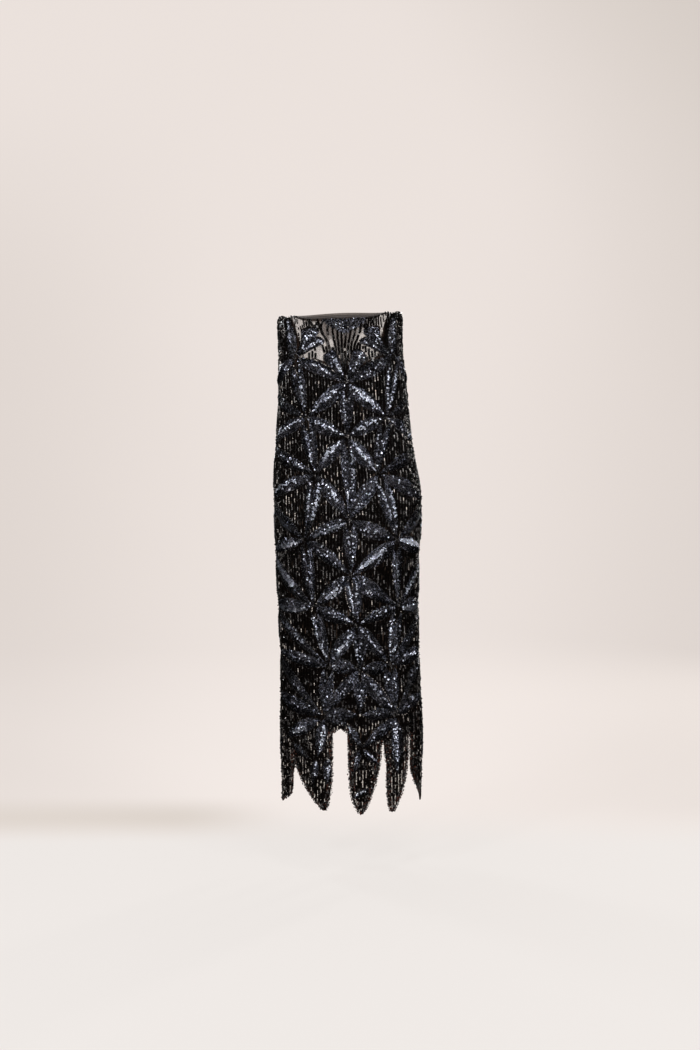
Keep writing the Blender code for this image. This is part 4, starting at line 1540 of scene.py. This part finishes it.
def roll_core(name, point, out, up, radius, satin):
    """The stuffed satin tube under a roll's beads."""
    count = len(point)
    rounds, sides = np.arange(count) / count, np.arange(ROLL_SIDES) / ROLL_SIDES
    ring_way, _ = turned(out[:, None], up[:, None], sides * math.tau)
    skin = point[:, None] + ring_way * (radius * 0.92)[:, None, None]
    share = np.stack(np.meshgrid(rounds, sides, indexing="ij"), axis=-1)
    faces = grid_faces(count, ROLL_SIDES, closed=True, looped=True)
    return new_piece(name, skin.reshape(-1, 3), [faces], [satin], share.reshape(-1, 2))


def wound_beads(setting, point, along, out, up, radius):
    """Seed beads wound round a roll."""
    for k, (around, core) in enumerate(zip(along, radius)):
        count = round(math.tau * core / SEED_PITCH)
        angle = math.tau * (np.arange(count) / count + k / 16)
        away, _ = turned(out[k], up[k], angle)
        sizes = uneven(SEED_RADIUS, count, 0.85, 1.15)
        places = np.stack([np.full(count, map_across(k / len(point))), 0.1 + angle * 0.1], axis=1)
        kinds = glass_kinds(rng.random(count) < 0.05, 0.2)
        axes = away, np.broadcast_to(around, away.shape), np.cross(away, around)
        setting.add(point[k] + away * core, axes, sizes, places, kinds)


def askew_bugles(setting, point, along, out, up, radius):
    """Short bugles that lie askew over a roll's seed beads."""
    k = np.tile(np.arange(len(point)), 2)
    angle = rng.uniform(-1.8, 1.8, len(k))
    lean = rng.choice((-1, 1), len(k)) * rng.uniform(0.35, 1.0, len(k))
    away, _ = turned(out[k], up[k], angle)
    down, beside = turned(along[k], np.cross(along[k], away), lean)
    sizes = uneven(ROLL_BUGLE, len(k), 0.8, 1.2)
    where = point[k] + away * (radius[k] + 0.0010)[:, None]
    places = np.stack([map_across(k / len(point)), angle * 0.1 + 0.3], axis=1)
    kinds = glass_kinds(rng.random(len(k)) < 0.05, 0.4)
    setting.add(where, (away, beside, down), sizes, places, kinds)


def make_roll(word, cloths, end, satin, glass):
    """A stuffed roll round the armhole, swelling to a knob on the shoulder, wound with seed beads."""
    point, along, out, up, from_top = even_line(*armhole_line(cloths, end), ROLL_PITCH)
    swell = np.exp(-((from_top / KNOB_REACH) ** 2))
    radius = ROLL_CORE + (KNOB_CORE - ROLL_CORE) * swell
    point = point - out * KNOB_INWARD * swell[:, None]
    core = roll_core("roll_" + word, point, out, up, radius, satin)
    settle(core, "tulle", "armhole_roll_" + word)
    seeds, bugles = Setting(round_shape()), Setting(bugle_shape())
    wound_beads(seeds, point, along, out, up, radius)
    settle(seeds.piece("roll_beads_" + word, glass), "beads")
    askew_bugles(bugles, point, along, out, up, radius)
    settle(bugles.piece("roll_bugles_" + word, glass, smooth_shaded=True), "beads")


# ---- stage, light and camera -------------------------------------------------------------------------------
def make_stage(finish):
    """Seamless paper all round: floor, bend and wall."""
    floor, reach, bend, tall, around = -1.251, 5.5, 1.6, 4.6, 96
    profile = [(0.02, floor), (1.2, floor), (2.5, floor)]
    for angle in np.linspace(0, math.pi / 2, 20):
        profile.append((reach - bend + bend * math.sin(angle), floor + bend - bend * math.cos(angle)))
    profile.append((reach, tall))
    turn = np.arange(around) * math.tau / around
    points = np.array([(r * math.cos(a), r * math.sin(a), z) for r, z in profile for a in turn])
    flat = points[:, :2] / (2 * reach) * 0.9 + 0.5
    faces = grid_faces(len(profile), around, closed=True)
    middle = np.arange(around)[None]
    paper = new_piece("paper_round", points, [faces[:, ::-1], middle], [finish], flat)
    paper.visible_glossy = False


def add_light(name, place, aim, size, watts, colour):
    """A soft lamp that faces a point and stays out of sight."""
    data = bpy.data.lights.new(name, "AREA")
    data.shape, data.size, data.size_y, data.energy, data.color = "RECTANGLE", *size, watts, colour
    lamp = added(name, data)
    lamp.visible_camera = False
    lamp.location = place
    x, y, z = np.array(aim, float) - np.array(place, float)
    lamp.rotation_euler = (math.atan2(math.hypot(x, y), -z), 0.0, math.atan2(-x, y))


def make_light():
    """A dim studio with soft lamps in front, above and behind."""
    world = bpy.data.worlds.new("studio")
    bpy.context.scene.world = world
    world.use_nodes = True
    backdrop = world.node_tree.nodes["Background"]
    backdrop.inputs[0].default_value = (0.94, 0.96, 1.0, 1.0)
    backdrop.inputs[1].default_value = 0.04
    white, cool, warm = (1.0, 0.99, 0.98), (0.94, 0.97, 1.0), (1.0, 0.96, 0.92)
    add_light("key", (-1.9, -2.5, 1.5), (0, 0, -0.5), (0.5, 0.5), 45, cool)
    add_light("fill", (2.3, -2.2, 0.9), (0, 0, -0.6), (0.5, 0.5), 26, cool)
    add_light("top", (0.3, -0.9, 2.6), (0, 0, -0.3), (0.6, 0.6), 26, white)
    add_light("strip_left", (-1.5, -3.0, -0.1), (0, 0, -0.5), (0.28, 1.5), 30, warm)
    add_light("strip_right", (2.0, -2.5, 0.0), (0, 0, -0.5), (0.28, 1.5), 24, white)
    add_light("back_left", (-1.9, 1.9, 1.3), (0, 0, -0.5), (0.5, 0.5), 30, cool)
    add_light("back_strip", (2.0, 2.7, 0.4), (0, 0, -0.6), (0.28, 1.4), 40, warm)


def make_camera():
    """A long lens in front of the gown, looking slightly down."""
    data = bpy.data.cameras.new("camera")
    data.sensor_fit, data.sensor_height, data.lens = "VERTICAL", 36.0, 52.46
    camera = added("camera", data)
    camera.location = (0.0227, -3.47, -0.281)
    camera.rotation_euler = (math.radians(90 - 3.18), 0.0, 0.0)
    bpy.context.scene.camera = camera


# ---- the gown ----------------------------------------------------------------------------------------------
def settle(piece, slot, *nodes):
    """Every piece rides on the one body and stands for the nodes that it dresses. The slot is not used."""
    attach(piece, "root")
    if nodes:
        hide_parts(*nodes)
    return piece


def make_panel(word, cloth, phase, hem_leaves, columns, finishes):
    """A tulle panel with its leaves, bead rows, and rosettes on some columns of stars. Returns the tulle
    and what is sewn on it."""
    tulle = settle(tulle_sheet("tulle_" + word, cloth, finishes["tulle"]), "tulle", word)
    yoke = [(a, b + phase, c, max(d + phase, 0.009), *rest) for a, b, c, d, *rest in YOKE_LEAVES]
    leaves, stars = leaves_of(phase, (*yoke, *hem_leaves))
    if word == "front":
        leaves.insert(0, Fan())
    grounds = settle(leaf_grounds("leaf_grounds_" + word, cloth, leaves, finishes["satin"]), "sequins")
    sequins, outline, edges = Setting(sequin_shape()), Setting(facet_shape()), Setting(facet_shape())
    for leaf in leaves:
        sequin_leaf(sequins, cloth, leaf)
        leaf_outline(outline, cloth, leaf)
    rosettes(outline, cloth, [place for row in stars for place in row[columns]])
    edge_rows(edges, cloth)
    for count, top, pale in SCATTERED:
        scattered_beads(edges, cloth, leaves, count, top, pale)
    upper, lower = Setting(bugle_shape()), Setting(bugle_shape())
    bugle_rows((upper, lower), cloth, leaves, word == "back")
    sewn = [grounds]
    for name, setting, kinds, slot in (
        ("sequins_", sequins, FOILS, "sequins"),
        ("edge_beads_", edges, EDGE_GLASS, "beads"),
        ("leaf_beads_", outline, GLASS, "beads"),
        ("bugles_upper_", upper, GLASS, "beads"),
        ("bugles_lower_", lower, GLASS, "beads"),
    ):
        made = setting.piece(name + word, [finishes[kind] for kind in kinds], setting in (upper, lower))
        sewn.append(settle(made, slot))
    return tulle, sewn


def main():
    """Makes the finishes, the pieces, the stage, the light and the camera, and works out each panel's cut
    size.
    """
    for item in list(bpy.data.objects):
        if item.type in {"LIGHT", "CAMERA"}:
            bpy.data.objects.remove(item)
    finishes = {
        "tulle": tulle_finish(),
        "satin": satin_finish(),
        # Bright foil paints highlights. Dull foil is the matte foil of some leaves and paints shade on the
        # far half of the others.
        "bright": foil_finish("painted_highlight_foil", (0.26, 0.27, 0.33), (0.58, 0.60, 0.69), 0.18, 1.0),
        "shiny": foil_finish("shiny_foil", (0.022, 0.023, 0.031), (0.074, 0.076, 0.094), 0.06, 1.0),
        "dull": foil_finish("dull_and_painted_shade_foil", (0.006, 0.006, 0.008), (0.024, 0.023, 0.028), 0.08, 0.9),
        "black": glass_finish("black_glass", (0.0005, 0.0005, 0.0005), (0.004, 0.003, 0.0025), 0.03, 0.09),
        # Pale glass: its light tone paints glints and light showing through the net.
        "pale_glints": glass_finish("pale_glint_glass", (0.045, 0.036, 0.032), (0.68, 0.63, 0.58), 0.10, 0.5),
        "rust": glass_finish("rust_glass", (0.010, 0.004, 0.003), (0.070, 0.026, 0.018), 0.16, 0.3),
        "gleam": glass_finish("gleaming_glass", (0.004, 0.004, 0.004), (0.062, 0.057, 0.056), 0.03, 1.0),
    }
    front = Cloth(-1, FRONT_SLITS, FRONT_TONGUES, FRONT_CREASES)
    back = Cloth(1, BACK_SLITS, BACK_TONGUES, BACK_CREASES)
    panels = [
        (front, *make_panel("front", front, 0.0, FRONT_HEM_LEAVES, slice(0, 5), finishes)),
        (back, *make_panel("back", back, BACK_PHASE, BACK_HEM_LEAVES, slice(1, 4), finishes)),
    ]
    binding = settle(make_binding(binding_finish()), "binding_silk", "neck_binding")
    stitches = Setting(bugle_shape())
    neck_stitches(stitches)
    thread = settle(stitches.piece("neck_stitches", [thread_finish()]), "binding_silk")
    seams = Setting(facet_shape())
    seam_rows(seams, (front, back))
    glass = [finishes[kind] for kind in GLASS]
    seam_beads = settle(seams.piece("seam_beads", glass), "beads")
    for word, end in (("left", -1), ("right", 1)):
        make_roll(word, (front, back), end, finishes["satin"], glass)
    for cloth, tulle, sewn in panels:
        width, length, area = cloth.cut_size()
        pieces = sewn + [seam_beads] if cloth is front else sewn
    make_stage(paper_finish())
    make_light()
    make_camera()
    bpy.context.scene.view_settings.view_transform = "Standard"


main()
